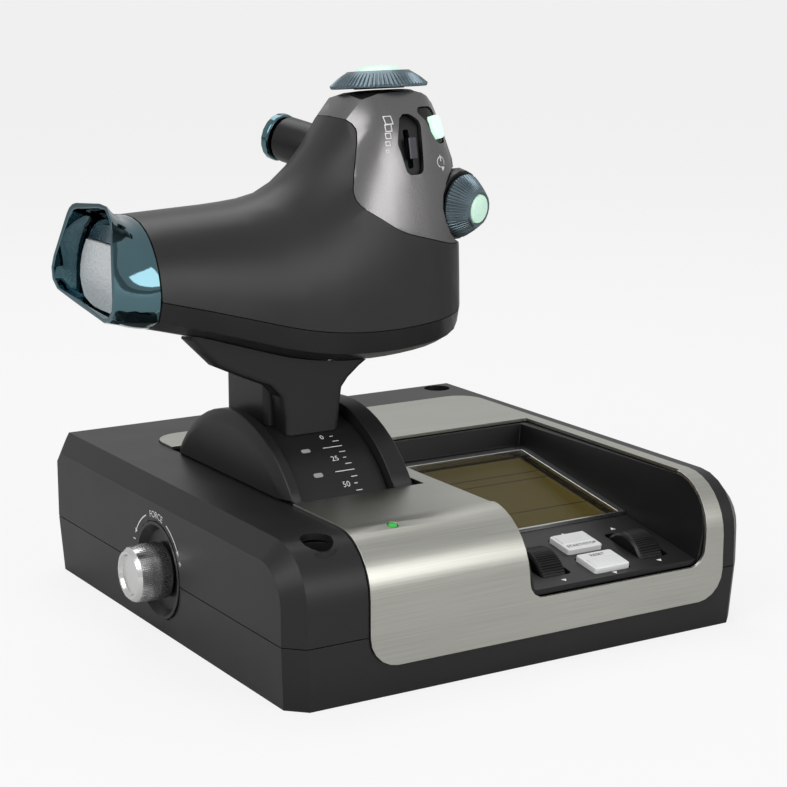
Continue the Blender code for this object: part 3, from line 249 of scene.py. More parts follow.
plated("chrome", (0.105, 0.190, 0.220), 0.05)
plated("cap_steel", (0.30, 0.36, 0.40), 0.24)
plated("bright_trim", (0.62, 0.63, 0.62), 0.16)
plated("steel", (0.52, 0.52, 0.51), 0.32)
plated("silver", (0.74, 0.74, 0.73), 0.20)
plated("slider_metal", (0.10, 0.10, 0.11), 0.18)

for name, colour, metallic, gloss in (("panel_gray", (0.190, 0.186, 0.187), 0.95, 0.27),
                                      ("blue_gray", (0.135, 0.180, 0.205), 0.80, 0.32)):
    paint = Finish(name, colour, gloss, metallic)
    flakes = paint.grain(5200, detail=1.0)
    paint.tint(flakes, [c * 0.7 for c in colour], [c * 1.35 for c in colour])
    paint.roughen(paint.grain(45), gloss - 0.04, gloss + 0.06)
    paint.relief(flakes, 0.10, 0.00002)
    finishes[name] = paint.material
print("finishes:", len(finishes))

# %% [markdown]
# ## Lit buttons
# The dials' centres and the fire button are translucent plastic with a lamp behind. A little emission
# that drifts with a slow noise gives the soft, uneven glow.

# %% Lit finishes
for name, colour, glow, strength in (("lit_green", (0.55, 0.72, 0.62), (0.62, 1.0, 0.78), 0.42),
                                     ("fire_lit", (0.62, 0.80, 0.70), (0.60, 1.0, 0.74), 0.85),
                                     ("green_light", (0.03, 0.36, 0.05), (0.06, 0.8, 0.09), 0.22)):
    lamp = Finish(name, colour, 0.28, Emission_Strength=strength)
    cloud = lamp.grain(160)
    lamp.tint(cloud, [c * 0.9 for c in colour], colour)
    lamp.feed(lamp.surface, {"Emission Color": lamp.blend(cloud, [c * 0.7 for c in glow], glow)})
    lamp.roughen(cloud, 0.22, 0.34)
    finishes[name] = lamp.material
print("finishes:", len(finishes))

# %% [markdown]
# ## The display
# The display is an amber liquid crystal. Thin dark rules cross it at fixed places along the
# front-to-back axis, so their mask is a comparison on one Object coordinate: a rule is where the place
# is past its near edge and short of its far edge.

# %% Display finish
RULES_Y, RULE_WIDTH = (-38.0, -12.5, -6.5), 0.7
amber = Finish("amber", (0.15, 0.105, 0.014), 0.42, Specular_IOR_Level=0.06)
depth_on_panel = amber.along(1)
rules = None
for line in RULES_Y:
    band = (depth_on_panel > line * MM) * (depth_on_panel < (line + RULE_WIDTH) * MM)
    rules = band if rules is None else rules + band
across = amber.grain(1.0, (900, 40, 40), 1.0)
shade = amber.blend(across, (0.128, 0.094, 0.012), (0.158, 0.116, 0.018))
amber.tint(rules, shade, (0.03, 0.022, 0.006))
amber.roughen(across, 0.28, 0.38)
finishes["amber"] = amber.material
print("rules across the display:", len(RULES_Y))

# %% [markdown]
# ## Window, boards and reflector
# The display's window is clear and almost black at a low alpha, with a fine change of gloss, as on a
# wiped surface. The circuit boards are green with darker traces, and the end cap's reflector is made
# of small facets, which a Voronoi pattern gives.

# %% Clear, board and reflector finishes
clear = Finish("clear", (0.02, 0.02, 0.02), 0.04, Alpha=0.14, IOR=1.46)
clear.roughen(clear.grain(300), 0.02, 0.06)
finishes["clear"] = clear.material

board = Finish("board", (0.012, 0.080, 0.030), 0.35)
traces = board.grain(1.0, (500, 60, 500), 1.0) > 0.52
board.tint(traces, (0.012, 0.075, 0.028), (0.020, 0.125, 0.050))
finishes["board"] = board.material

facets = Finish("reflector_white", (0.82, 0.84, 0.85), 0.35)
prisms = facets.node("ShaderNodeTexVoronoi", None, {"Vector": facets.place, "Scale": 900.0})
facets.tint(prisms, (0.88, 0.90, 0.91), (0.62, 0.66, 0.68))
facets.roughen(prisms, 0.2, 0.4)
facets.relief(prisms, 0.6, 0.0003)
finishes["reflector_white"] = facets.material
print("finishes:", len(finishes))

# %% [markdown]
# ## Dressing a CAD piece
# A CAD node is a bag of loose triangles with hard facets. A copy of it is welded, its flat faces are
# joined back into single faces, and a narrow Bevel rounds the edges, since a real moulding has no
# knife edges and the bevels catch the light. Weighted Normal then keeps the big faces flat while the
# curved ones shade smoothly. The copy replaces the node on screen and rides on the same body.

# %% The dressing helper
def welded(node):
    mesh = frame["nodes"][node].data.copy()
    bm = bmesh.new()
    bm.from_mesh(mesh)
    bmesh.ops.remove_doubles(bm, verts=bm.verts, dist=0.000004)
    bmesh.ops.dissolve_limit(bm, angle_limit=math.radians(0.12), verts=bm.verts, edges=bm.edges)
    bm.to_mesh(mesh)
    bm.free()
    return mesh


def add_piece(name, mesh, finish, body):
    piece = bpy.data.objects.new(name, mesh)
    bpy.context.scene.collection.objects.link(piece)
    mesh.materials.clear()
    mesh.materials.append(finishes[finish])
    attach(piece, body)
    return piece


def dress(node, finish, edge=0.3, corner=34.0):
    """A welded copy of the node, with its edges rounded by `edge` millimetres."""
    mesh = welded(node)
    mesh.shade_smooth()
    if not edge:
        mesh.set_sharp_from_angle(angle=math.radians(corner))
    piece = add_piece(node + "_finished", mesh, finish, body_of[node])
    if edge:
        bevel = piece.modifiers.new("rounded_edges", "BEVEL")
        bevel.limit_method, bevel.angle_limit = "ANGLE", math.radians(corner)
        bevel.width, bevel.segments, bevel.harden_normals = edge * MM, 2, True
    piece.modifiers.new("flat_stays_flat", "WEIGHTED_NORMAL").keep_sharp = True
    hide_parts(node)


print("faces of the upper shell:", len(frame["nodes"]["upper_shell"].data.polygons), "packed,",
      len(welded("upper_shell").polygons), "welded")

# %% [markdown]
# ## Which piece has which finish
# Outside pieces are dressed. Pieces that are sealed inside, such as the circuit boards and the axle,
# keep their CAD mesh and only get a finish, because nobody sees their edges.

# %% Dress the outside
outside = {
    "lower_shell": ("shell_black", 0.9), "upper_shell": ("shell_black", 0.9),
    "fascia": ("brushed_steel", 0.12), "display_tray": ("tray_black", 0.3),
    "tray_panel": ("tray_black", 0.15), "lens_frame": ("bright_trim", 0.2),
    "lcd_module": ("amber", 0.1), "display_lens": ("clear", 0.1), "start_button": ("white_key", 0.4),
    "reset_button": ("white_key", 0.4), "wheel_left": ("soft_black", 0.3),
    "wheel_right": ("soft_black", 0.3), "lever_guard_left": ("shell_black", 0.5),
    "lever_guard_right": ("shell_black", 0.5), "scale_drum": ("drum_gray", 0.2),
    "knob_dish": ("soft_black", 0.2), "tension_knob": ("silver", 0.25),
    "stem_front": ("shell_black", 0.6), "stem_rear": ("shell_black", 0.6),
    "grip_upper_shell": ("grip_gray", 0.25), "grip_lower_shell": ("grip_gray", 0.25),
    "control_panel": ("panel_gray", 0.3), "end_cap": ("chrome", 0.35), "cap_plate": ("cap_steel", 0.15),
    "cap_reflector": ("reflector_white", 0.1), "top_collar": ("soft_black", 0.2),
    "top_dial": ("blue_gray", 0.25), "top_dial_button": ("lit_green", 0.2),
    "side_collar": ("soft_black", 0.3), "side_dial": ("blue_gray", 0.2),
    "side_dial_button": ("lit_green", 0.2), "fire_bezel": ("soft_black", 0.3),
    "fire_button": ("fire_lit", 0.5), "slider_track": ("soft_black", 0.15),
    "slider_knob": ("slider_metal", 0.3), "hat_stub": ("soft_black", 0.3), "hat_cap": ("chrome", 0.3),
    "status_led": ("green_light", 0.15), "link_socket": ("steel", 0.2),
    "foot_front_left": ("dark_rubber", 0.2), "foot_front_right": ("dark_rubber", 0.2),
    "foot_back_left": ("dark_rubber", 0.2), "foot_back_right": ("dark_rubber", 0.2),
}
for node, (finish, edge) in outside.items():
    dress(node, finish, edge)
boards = {"main_board", "display_board", "grip_board", "lever_sensor"}
for node, cad in frame["nodes"].items():
    if node not in outside:
        finish = "board" if node in boards else slot_of[node]
        cad.data.materials.clear()
        cad.data.materials.append(finishes.get(finish, finishes["inner_plastic"]))
print("dressed:", len(outside), "kept inside:", len(frame["nodes"]) - len(outside))

# %% [markdown]
# ## Ribs, knurls and scale marks
# A ribbed dial repeats one rib round its axis, and a ridged key repeats one ridge along a line. Copying
# by hand would fix the count for ever. Geometry Nodes state the rule instead: points at even steps,
# one instance on each, and named inputs for the count and the step. Realize Instances makes them real
# faces, and Set Material gives their finish. Only the rule for the places differs between the trees.

# %% What both trees share
def repeating_tree(name, inputs, place_points):
    tree = bpy.data.node_groups.new(name, "GeometryNodeTree")
    tree.interface.new_socket("Geometry", in_out="INPUT", socket_type="NodeSocketGeometry")
    for label, kind in inputs + [("Finish", "NodeSocketMaterial")]:
        tree.interface.new_socket(label, in_out="INPUT", socket_type=kind)
    tree.interface.new_socket("Geometry", in_out="OUTPUT", socket_type="NodeSocketGeometry")
    new, link = tree.nodes.new, tree.links.new
    entry, leave = new("NodeGroupInput"), new("NodeGroupOutput")
    points, copies = new("GeometryNodePoints"), new("GeometryNodeInstanceOnPoints")
    real, paint = new("GeometryNodeRealizeInstances"), new("GeometryNodeSetMaterial")
    index = new("GeometryNodeInputIndex").outputs[0]
    position, rotation = place_points(tree, entry, index)
    link(entry.outputs["Count"], points.inputs["Count"])
    link(position, points.inputs["Position"])
    link(points.outputs[0], copies.inputs["Points"])
    link(entry.outputs["Geometry"], copies.inputs["Instance"])
    if rotation:
        link(rotation, copies.inputs["Rotation"])
    link(copies.outputs[0], real.inputs[0])
    link(real.outputs[0], paint.inputs["Geometry"])
    link(entry.outputs["Finish"], paint.inputs["Material"])
    link(paint.outputs[0], leave.inputs[0])
    return tree


# %% [markdown]
# ## Two rules for the places
# Round an axis, copy number i stands at the angle start + i * step, at a fixed radius, and is turned
# by the same angle. Along a line, it stands at i * step and isn't turned.

# %% Two repeating trees
def round_the_axis(tree, entry, index):
    def maths(operation, *values):
        made = tree.nodes.new("ShaderNodeMath")
        made.operation = operation
        for socket, value in zip(made.inputs, values):
            tree.links.new(value, socket)
        return made.outputs[0]

    def vector(*parts):
        made = tree.nodes.new("ShaderNodeCombineXYZ")
        for socket, value in zip(made.inputs, parts):
            if value:
                tree.links.new(value, socket)
        return made.outputs[0]

    turn = maths("ADD", maths("MULTIPLY", index, entry.outputs["Step"]), entry.outputs["Start"])
    radius = entry.outputs["Radius"]
    spot = vector(maths("MULTIPLY", maths("COSINE", turn), radius),
                  maths("MULTIPLY", maths("SINE", turn), radius))
    return spot, vector(None, None, turn)


def along_a_line(tree, entry, index):
    step = tree.nodes.new("ShaderNodeVectorMath")
    step.operation = "SCALE"
    tree.links.new(entry.outputs["Step"], step.inputs[0])
    tree.links.new(index, step.inputs["Scale"])
    return step.outputs[0], None


ring_tree = repeating_tree("copies_round_an_axis",
                           [("Count", "NodeSocketInt"), ("Radius", "NodeSocketFloat"),
                            ("Start", "NodeSocketFloat"), ("Step", "NodeSocketFloat")], round_the_axis)
row_tree = repeating_tree("copies_along_a_line",
                          [("Count", "NodeSocketInt"), ("Step", "NodeSocketVector")], along_a_line)
print("inputs:", [socket.name for socket in ring_tree.interface.items_tree if socket.in_out == "INPUT"])

# %% [markdown]
# ## Running a tree
# A Geometry Nodes modifier keeps each input under its socket's identifier, not its name. The inputs
# are all set before the object is first evaluated, and new_from_object then gives a plain mesh, so the
# object that carried the modifier can go.

# %% Run a tree on one unit
def repeat(name, unit, tree, finish, to_place, body, slot, **inputs):
    """Runs the tree on one unit mesh, and puts the realised copies in place as a plain mesh."""
    maker = bpy.data.objects.new(name + "_maker", unit)
    bpy.context.scene.collection.objects.link(maker)
    modifier = maker.modifiers.new("repeat", "NODES")
    modifier.node_group = tree
    inputs["Finish"] = finishes[finish]
    for socket in tree.interface.items_tree:
        if socket.in_out == "INPUT" and socket.name in inputs:
            modifier[socket.identifier] = inputs[socket.name]
    graph = bpy.context.evaluated_depsgraph_get()
    mesh = bpy.data.meshes.new_from_object(maker.evaluated_get(graph), depsgraph=graph)
    mesh.transform(to_place)
    bpy.data.objects.remove(maker)
    add_piece(name, mesh, finish, body)
    print(name, len(mesh.polygons), "faces")


# %% [markdown]
# ## One rib
# A rib is a low ridge with three corners in section. It follows the dial's own profile, so it is built
# from a short list of radius and height, with its crest lifted off the surface.

# %% The dials' ribs
RIB_SINK, RIB_END_LIFT, RIB_CREST = 0.15, 0.15, 0.25


def rib(profile, width, lift):
    """A ridge along (radius, height) points in millimetres, sunk slightly into the surface."""
    bm = bmesh.new()
    rings = []
    for i, (radius, height) in enumerate(profile):
        before, after = profile[max(i - 1, 0)], profile[min(i + 1, len(profile) - 1)]
        run = Vector((after[0] - before[0], after[1] - before[1])).normalized()
        out = Vector((run.y, -run.x))
        out = out if out.x > 0 else -out
        end = RIB_END_LIFT if i in (0, len(profile) - 1) else 1.0
        half = width / 2 * radius / profile[0][0]
        low = Vector((radius, height)) - out * RIB_SINK
        top = Vector((radius, height)) + out * lift * end
        crest = half * RIB_CREST
        corners = [(low.x, -half, low.y), (top.x, -crest, top.y), (top.x, crest, top.y), (low.x, half, low.y)]
        rings.append([bm.verts.new(Vector(c) * MM) for c in corners])
    for a, b in zip(rings, rings[1:]):
        for k in range(4):
            bm.faces.new((a[k], a[(k + 1) % 4], b[(k + 1) % 4], b[k]))
    bm.faces.new(rings[0])
    bm.faces.new(rings[-1][::-1])
    bmesh.ops.recalc_face_normals(bm, faces=bm.faces)
    mesh = bpy.data.meshes.new("rib")
    bm.to_mesh(mesh)
    bm.free()
    return mesh


def axis_place(origin, axis):
    """A matrix that puts local Z on the axis, at an origin in millimetres."""
    return Matrix.Translation(Vector(origin) * MM) @ Vector((0, 0, 1)).rotation_difference(
        Vector(axis).normalized()).to_matrix().to_4x4()


def ring_of_ribs(name, profile, width, lift, count, finish, origin, axis, body):
    """Each rib already stands at its own radius, so the ring's radius is nothing."""
    repeat(name, rib(profile, width, lift), ring_tree, finish, axis_place(origin, axis), body, finish,
           Count=count, Radius=0.0, Start=0.0, Step=math.tau / count)


TOP_SEAT, TOP_AXIS = (-1.0, 2.5, 191.5), (0, 0.087, 1)
SIDE_SEAT, SIDE_AXIS = (21.5, -18.5, 149.5), (0.373, -0.923, -0.087)
TOP_RIB = [(17.55, 0.5), (17.6, 1.3), (15.0, 3.5), (12.3, 5.75)]
SIDE_RIB = [(11.35, 0.3), (11.4, 1.2), (9.2, 4.3), (6.9, 7.5)]
ring_of_ribs("top_dial_ribs", TOP_RIB, 1.0, 0.5, 64, "blue_gray", TOP_SEAT, TOP_AXIS, "top_dial")
ring_of_ribs("side_dial_ribs", SIDE_RIB, 0.85, 0.36, 52, "blue_gray", SIDE_SEAT, SIDE_AXIS, "side_dial")

# %% [markdown]
# ## The force knob and the thumb wheels
# The knob is turned metal with a fine straight knurl between two plain polished edges. The thumb
# wheels have coarser ridges across their rim. Both are the same rib on another profile.

# %% Knurls
KNOB_FACE, PIVOT_Y, PIVOT_Z = -92.6, 1.0, 23.5
KNOB_RIB = [(10.28, -1.2), (10.2, -4.5), (10.05, -8.5), (9.93, -12.2)]
WHEEL_RIB = [(11.95, -4.6), (12.0, -3.9), (12.0, 3.9), (11.95, 4.6)]
SIDEWAYS = (1, 0, 0)
ring_of_ribs("knob_knurl", KNOB_RIB, 0.44, 0.26, 88, "silver", (KNOB_FACE, PIVOT_Y, PIVOT_Z), SIDEWAYS,
             "tension")
for name in ("wheel_left", "wheel_right"):
    low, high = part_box(name)
    ring_of_ribs(name + "_ridges", WHEEL_RIB, 0.62, 0.30, 72, "soft_black", (low + high) / 2 / MM, SIDEWAYS,
                 name)

# %% [markdown]
# ## Drawing flat signs
# Printed numbers and marks are thin ink with sharp outlines, which a bump can't carry, so each is a
# flat mesh. A drawing is a list of corners in millimetres and a list of faces, and small functions
# make, gather, shift and bend them.

# %% Drawings
def lettering(text, size):
    """Flat faces of a text in millimetres, centred on the origin."""
    curve = bpy.data.curves.new("letters", "FONT")
    curve.body, curve.size = text, size
    curve.align_x, curve.align_y, curve.resolution_u = "CENTER", "CENTER", 3
    holder = bpy.data.objects.new("letters", curve)
    bpy.context.scene.collection.objects.link(holder)
    graph = bpy.context.evaluated_depsgraph_get()
    mesh = bpy.data.meshes.new_from_object(holder.evaluated_get(graph), depsgraph=graph)
    corners = [(v.co.x, v.co.y) for v in mesh.vertices]
    faces = [tuple(p.vertices) for p in mesh.polygons]
    bpy.data.objects.remove(holder)
    return corners, faces


def outline(*corners):
    return list(corners), [tuple(range(len(corners)))]


def bar(x0, x1, y0, y1):
    return outline((x0, y0), (x1, y0), (x1, y1), (x0, y1))


def box_line(x0, x1, y0, y1, line):
    return gathered(bar(x0, x1, y0, y0 + line), bar(x0, x1, y1 - line, y1),
                    bar(x0, x0 + line, y0 + line, y1 - line), bar(x1 - line, x1, y0 + line, y1 - line))


def arc_line(radius, start, end, line, steps=14):
    """A curved line; angles in degrees, anticlockwise from local x."""
    corners, faces = [], []
    for k in range(steps + 1):
        angle = math.radians(start + (end - start) * k / steps)
        for r in (radius - line / 2, radius + line / 2):
            corners.append((r * math.cos(angle), r * math.sin(angle)))
        if k:
            faces.append((2 * k - 2, 2 * k - 1, 2 * k + 1, 2 * k))
    return corners, faces


def gathered(*drawings):
    corners, faces = [], []
    for points, polygons in drawings:
        faces += [tuple(i + len(corners) for i in polygon) for polygon in polygons]
        corners += points
    return corners, faces


def shifted(drawing, x=0.0, y=0.0, turn=0.0):
    c, s = math.cos(math.radians(turn)), math.sin(math.radians(turn))
    return [(px * c - py * s + x, px * s + py * c + y) for px, py in drawing[0]], drawing[1]


def round_a_circle(drawing, radius, middle=90.0):
    """Bends a straight drawing round a circle, with its middle at that angle."""
    bent = []
    for x, y in drawing[0]:
        angle = math.radians(middle) - x / radius
        bent.append(((radius + y) * math.cos(angle), (radius + y) * math.sin(angle)))
    return bent, drawing[1]


print("corners of the word FORCE:", len(lettering("FORCE", 3.5)[0]))

# %% [markdown]
# ## Printing on curved surfaces
# A drawing is placed in its own plane and then dropped onto the piece along that plane's normal, with
# a ray for each corner. Long edges are divided first, so that a flat face can follow a bend. The ink
# ends a hair above the surface.

# %% Printing
def sign_place(origin, right, up):
    """Local x to the right, local y up, and local z out of the surface."""
    right, up = Vector(right).normalized(), Vector(up).normalized()
    out = right.cross(up).normalized()
    up = out.cross(right)
    return Matrix.Translation(Vector(origin) * MM) @ Matrix((right, up, out)).transposed().to_4x4()


INK = 0.09
LONGEST_EDGE = 1.2


def print_on(name, drawing, node, to_place, finish="print_white", reach=8.0):
    """Drops a drawing onto a node from `reach` millimetres above its plane."""
    surface = frame["nodes"][node].data
    target = BVHTree.FromPolygons([v.co for v in surface.vertices], [p.vertices for p in surface.polygons])
    out = to_place.to_3x3() @ Vector((0, 0, 1))
    bm, missed = bmesh.new(), 0
    corners = [bm.verts.new((x, y, 0)) for x, y in drawing[0]]
    for polygon in drawing[1]:
        bm.faces.new([corners[i] for i in polygon])
    long_edges = [edge for edge in bm.edges if edge.calc_length() > LONGEST_EDGE]
    bmesh.ops.subdivide_edges(bm, edges=long_edges, cuts=3, use_grid_fill=True)
    for corner in bm.verts:
        start = to_place @ (corner.co * MM) + out * reach * MM
        hit = target.ray_cast(start, -out, 2 * reach * MM)[0]
        missed += hit is None
        corner.co = (hit or start - out * reach * MM) + out * INK * MM
    for face in bm.faces:
        face.normal_update()
        if face.normal.dot(out) < 0:
            face.normal_flip()
    mesh = bpy.data.meshes.new(name)
    bm.to_mesh(mesh)
    bm.free()
    print(name, len(mesh.polygons), "faces,", missed, "corners beside the surface")
    add_piece(name, mesh, finish, body_of[node])


# %% [markdown]
# ## The drum's scale
# The drum turns past a fixed edge and shows how far the lever is pushed. Its ticks lie at even angles,
# so the ring tree makes them, the longer ones too; the numbers are printed one by one.

# %% Scale
DRUM_R = 51.0
FIRST_TICK, TICK_STEP, TICK_LIFT = 24.7, 3.125, 0.06


def drum_place(angle, x):
    """A place on the drum, at an angle in degrees forward of its top."""
    a = math.radians(angle)
    out = Vector((0, -math.sin(a), math.cos(a)))
    up = Vector((0, math.cos(a), math.sin(a)))
    return sign_place(Vector((x, PIVOT_Y, PIVOT_Z)) + out * DRUM_R, (1, 0, 0), up)


def mark(length, width):
    """A flat tick whose length lies along the drum's axis."""
    mesh = bpy.data.meshes.new("mark")
    half, side = length / 2 * MM, width / 2 * MM
    corners = [(0, -side, -half), (0, side, -half), (0, side, half), (0, -side, half)]
    mesh.from_pydata(corners, [], [(0, 1, 2, 3)])
    return mesh


drum_axis = Matrix(((0, 0, 1), (0, -1, 0), (1, 0, 0))).to_4x4()
for name, first, last, start, count, step in (("scale_number_ticks", -35.7, -34.3, 0, 5, 4),
                                              ("scale_first_ticks", -35.9, -33.4, 1, 4, 4),
                                              ("scale_long_ticks", -41.2, -33.4, 2, 4, 4),
                                              ("scale_third_ticks", -35.9, -33.4, 3, 4, 4)):
    repeat(name, mark(last - first, 0.32), ring_tree, "print_white",
           Matrix.Translation(Vector(((first + last) / 2, PIVOT_Y, PIVOT_Z)) * MM) @ drum_axis, "lever", None,
           Count=count, Radius=(DRUM_R + TICK_LIFT) * MM, Start=math.radians(FIRST_TICK + TICK_STEP * start),
           Step=math.radians(step * TICK_STEP))
for k, number in enumerate(("0", "25", "50", "75", "100")):
    print_on("scale_number_" + number, lettering(number, 3.1), "scale_drum",
             drum_place(FIRST_TICK + 4 * TICK_STEP * k, -38.9 - 0.6 * (len(number) > 2)))
window = outline((-1.3, -0.9), (1.3, -0.9), (1.8, -0.45), (1.8, 0.45), (1.3, 0.9), (-1.3, 0.9), (-1.8, 0.45),
                 (-1.8, -0.45))
for k, angle in enumerate((31.2, 43.9)):
    print_on(f"scale_window_{k}", window, "scale_drum", drum_place(angle, -48.3), "window_gray")

# %% [markdown]
# ## The force sign
# Round the knob's dish runs a curved arrow with the word FORCE at its top, and the signs for less and
# more at its two ends. The drawing is made straight and then bent round the circle.

# %% Force sign
SIGN_R = 20.4
force_place = sign_place((-95.0, PIVOT_Y, PIVOT_Z), (0, -1, 0), (0, 0, 1))
arrow_head = outline((-1.0, -0.9), (1.0, 0.0), (-1.0, 0.9))
stroke = bar(-1, 1, -0.22, 0.22)


def on_circle(drawing, angle, turn=0.0):
    """Turns a drawing, and moves it to an angle on the sign's circle."""
    a = math.radians(angle)
    return shifted(drawing, SIGN_R * math.cos(a), SIGN_R * math.sin(a), turn)


print_on("force_word", round_a_circle(lettering("FORCE", 3.5), SIGN_R), "upper_shell", force_place)
print_on("force_arrows", gathered(arc_line(SIGN_R, 66, 34, 0.5), arc_line(SIGN_R, 114, 146, 0.5),
                                  on_circle(arrow_head, 31, -59), on_circle(arrow_head, 149, -121)),
         "upper_shell", force_place)
print_on("force_more", gathered(on_circle(stroke, 21), on_circle(stroke, 21, 90)), "upper_shell", force_place)
print_on("force_less", on_circle(stroke, 159), "upper_shell", force_place)

# %% [markdown]
# ## The keys, their ridges and the small triangles
# Each key has a smooth band for its word and fine ridges on the rest, which the row tree repeats. The
# triangles beside the wheels and keys point out which way each one steps.

# %% Keys and panel signs
PANEL_Z, PANEL_SLOPE, KEY_X, KEY_PROUD = 42.5, 0.163, 37.3, 1.8
RIDGE_SINK, RIDGE_CREST = 0.05, 0.18
RIDGE_COUNT, RIDGE_STEP = 8, 0.86


def panel_place(x, y, lift=0.0):
    origin = Vector((x, y, PANEL_Z + PANEL_SLOPE * y))
    up = Vector((0, 1, PANEL_SLOPE)).normalized()
    return sign_place(origin + Vector((1, 0, 0)).cross(up) * lift, (1, 0, 0), up)


def ridge(length, width, lift):
    bm = bmesh.new()
    ends = [[bm.verts.new(Vector((x, y, z)) * MM) for y, z in
             ((-width / 2, -RIDGE_SINK), (width / 2, -RIDGE_SINK),
              (width * RIDGE_CREST, lift), (-width * RIDGE_CREST, lift))]
            for x in (-length / 2, length / 2)]
    for k in range(4):
        bm.faces.new((ends[0][k], ends[0][(k + 1) % 4], ends[1][(k + 1) % 4], ends[1][k]))
    bm.faces.new(ends[0])
    bm.faces.new(ends[1][::-1])
    bmesh.ops.recalc_face_normals(bm, faces=bm.faces)
    mesh = bpy.data.meshes.new("ridge")
    bm.to_mesh(mesh)
    bm.free()
    return mesh


for node, word, key_y, word_y, first in (("start_button", "START/STOP", -71.3, -3.6, -0.9),
                                         ("reset_button", "RESET", -87.6, 3.6, -5.2)):
    repeat(node + "_ridges", ridge(13.4, 0.55, 0.45), row_tree, "white_key",
           panel_place(KEY_X, key_y, KEY_PROUD) @ Matrix.Translation((0, first * MM, 0)), node, "white_key",
           Count=RIDGE_COUNT, Step=(0.0, RIDGE_STEP * MM, 0.0))
    print_on(node + "_word", shifted(lettering(word, 2.3), 0, word_y), node, panel_place(KEY_X, key_y),
             "print_dark")
triangle = outline((-1.1, -0.8), (1.1, -0.8), (0, 1.0))
for k, (x, y, turn) in enumerate(((38.3, -62.3, 0), (59.0, -64.6, 0), (16.1, -64.6, 0),
                                  (16.1, -94.1, 180), (37.0, -95.6, 180), (58.8, -93.1, 180))):
    print_on(f"panel_triangle_{k}", shifted(triangle, turn=turn), "tray_panel", panel_place(x, y))

# %% [markdown]
# ## Signs on the head
# Beside the slider, five little squares grow upwards to show which way makes more. A turning arrow
# above the side dial says that it turns.

# %% Head signs
head_right, head_up = (0.99, 0.06, 0.0), (0.12, 0.18, 0.97)
lowest_square, highest_square, squares = Vector((-12.0, -24, 171.6)), Vector((-9.4, -24, 183.0)), 5
for k in range(squares):
    side = 0.65 + 0.24 * k
    spot = lowest_square.lerp(highest_square, k / (squares - 1))
    print_on(f"slider_square_{k}", box_line(-side, side, -side, side, 0.34), "control_panel",
             sign_place(spot, head_right, head_up), reach=14.0)
turning = gathered(arc_line(1.9, -40, 250, 0.42), shifted(arrow_head, 0.9, -2.1, 20),
                   bar(-0.25, 0.25, 0.3, 2.6))
print_on("dial_turn_sign", turning, "control_panel",
         sign_place((10.8, -22, 166.3), (0.93, 0.36, 0), (0, 0.12, 0.99)), reach=16.0)

# %% [markdown]
# ## The world
# The background is white, as in a catalogue studio, but a white world would flood dark plastic with
# light. Light Path tells the rays apart: the camera sees strength 1, also through the clear window,
# while the object is lit by much less. Rays that mirror the world see a value between the two, so
# that the chrome has something bright to show.

# %% World
AMBIENT, MIRRORED = 0.30, 0.60
scene = bpy.context.scene
scene.view_settings.view_transform = "Standard"
scene.world = bpy.data.worlds.new("studio")
scene.world.use_nodes = True
sky = Nodes(scene.world.node_tree)
direct, through, glossy = (sky.node("ShaderNodeLightPath", out=f"Is {kind} Ray")
                           for kind in ("Camera", "Transmission", "Glossy"))
strength = direct.larger(through).larger(glossy * (MIRRORED - AMBIENT) + AMBIENT)
sky.feed(sky.tree.nodes["Background"], {"Color": (1, 1, 1, 1), "Strength": strength})
print("world strength: camera 1, mirrored", MIRRORED, "light", AMBIENT)

# %% [markdown]
# ## The floor
# The floor is plain and pale. For the camera, most of it is even emission and the rest is its shaded
# surface, so it is nearly as white as the background and still keeps the object's soft shadow.

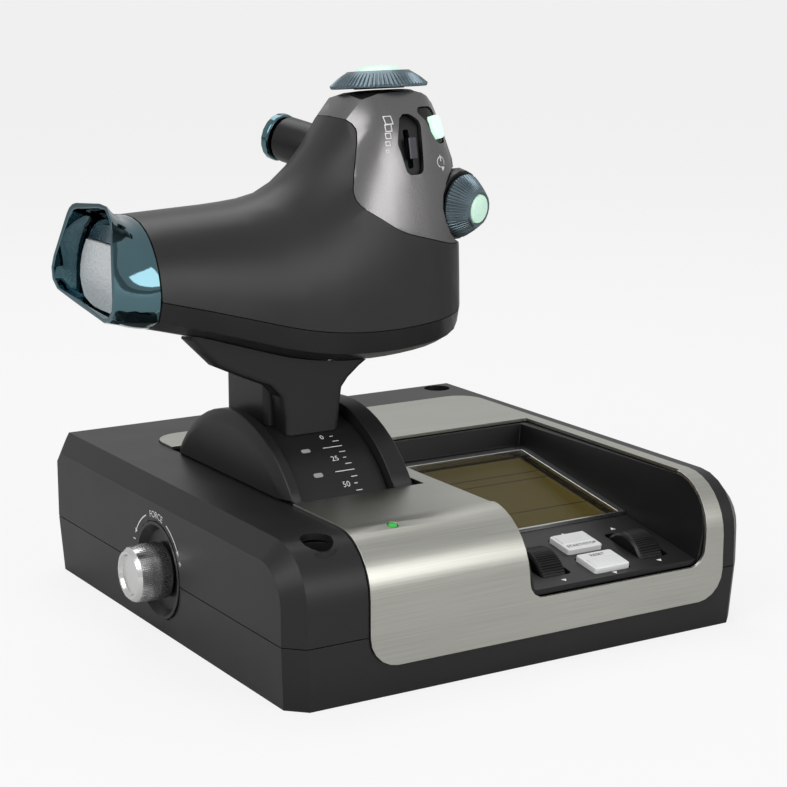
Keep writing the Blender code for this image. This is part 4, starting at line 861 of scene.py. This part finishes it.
# %% Floor
FLOOR_REACH, FLOOR_GLOW = 30.0, 0.82
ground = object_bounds()[0].z
floor_mesh = bpy.data.meshes.new("floor")
floor_mesh.from_pydata([(x * FLOOR_REACH, y * FLOOR_REACH, ground)
                        for x, y in ((-1, -1), (1, -1), (1, 1), (-1, 1))], [], [(0, 1, 2, 3)])
floor = bpy.data.objects.new("floor", floor_mesh)
scene.collection.objects.link(floor)
pale = Finish("pale_floor", (0.82, 0.82, 0.82), 0.9)
pale.tint(pale.grain(3), (0.81, 0.81, 0.81), (0.84, 0.84, 0.84))
glow_mask = pale.node("ShaderNodeLightPath", out="Is Camera Ray") * FLOOR_GLOW
shaded, glow = Signal(pale, pale.surface.outputs[0]), pale.node("ShaderNodeEmission")
pale.feed(pale.tree.nodes["Material Output"],
          {"Surface": pale.node("ShaderNodeMixShader", None, {0: glow_mask, 1: shaded, 2: glow})})
floor_mesh.materials.append(pale.material)
print("floor at z", ground)

# %% [markdown]
# ## The lamps
# Three soft area lamps give the top, the left and the front their broad highlights. A larger lamp
# gives a softer edge. All of them point at the middle of the object, a little above the floor.

# %% Lamps
AIM = Vector((0, 0, 0.08))
for name, spot, width, power in (("lamp_left", (-0.75, -0.35, 0.75), 0.7, 5.0),
                                 ("lamp_front", (0.35, -1.15, 0.55), 0.6, 4.0),
                                 ("lamp_top", (0.15, 0.45, 1.0), 0.7, 3.5)):
    lamp = bpy.data.objects.new(name, bpy.data.lights.new(name, "AREA"))
    lamp.data.energy, lamp.data.size = power, width
    lamp.location = spot
    lamp.rotation_euler = (AIM - Vector(spot)).to_track_quat("-Z", "Y").to_euler()
    scene.collection.objects.link(lamp)
    print(name, power, "watts,", width, "m wide")

# %% [markdown]
# ## The camera
# The camera stands to the left of the front, a little above the object. A long lens from further away
# keeps the base's edges nearly parallel.

# %% Camera
TILT, HEADING = 77.55, -31.41
camera = bpy.data.objects.new("camera", bpy.data.cameras.new("camera"))
camera.data.lens, camera.data.sensor_width = 95.79, 36.0
camera.location = (-0.3983, -0.6584, 0.2477)
camera.rotation_euler = (math.radians(TILT), 0.0, math.radians(HEADING))
scene.collection.objects.link(camera)
scene.camera = camera
print("camera is", round((camera.location - AIM).length, 3), "m from the object")
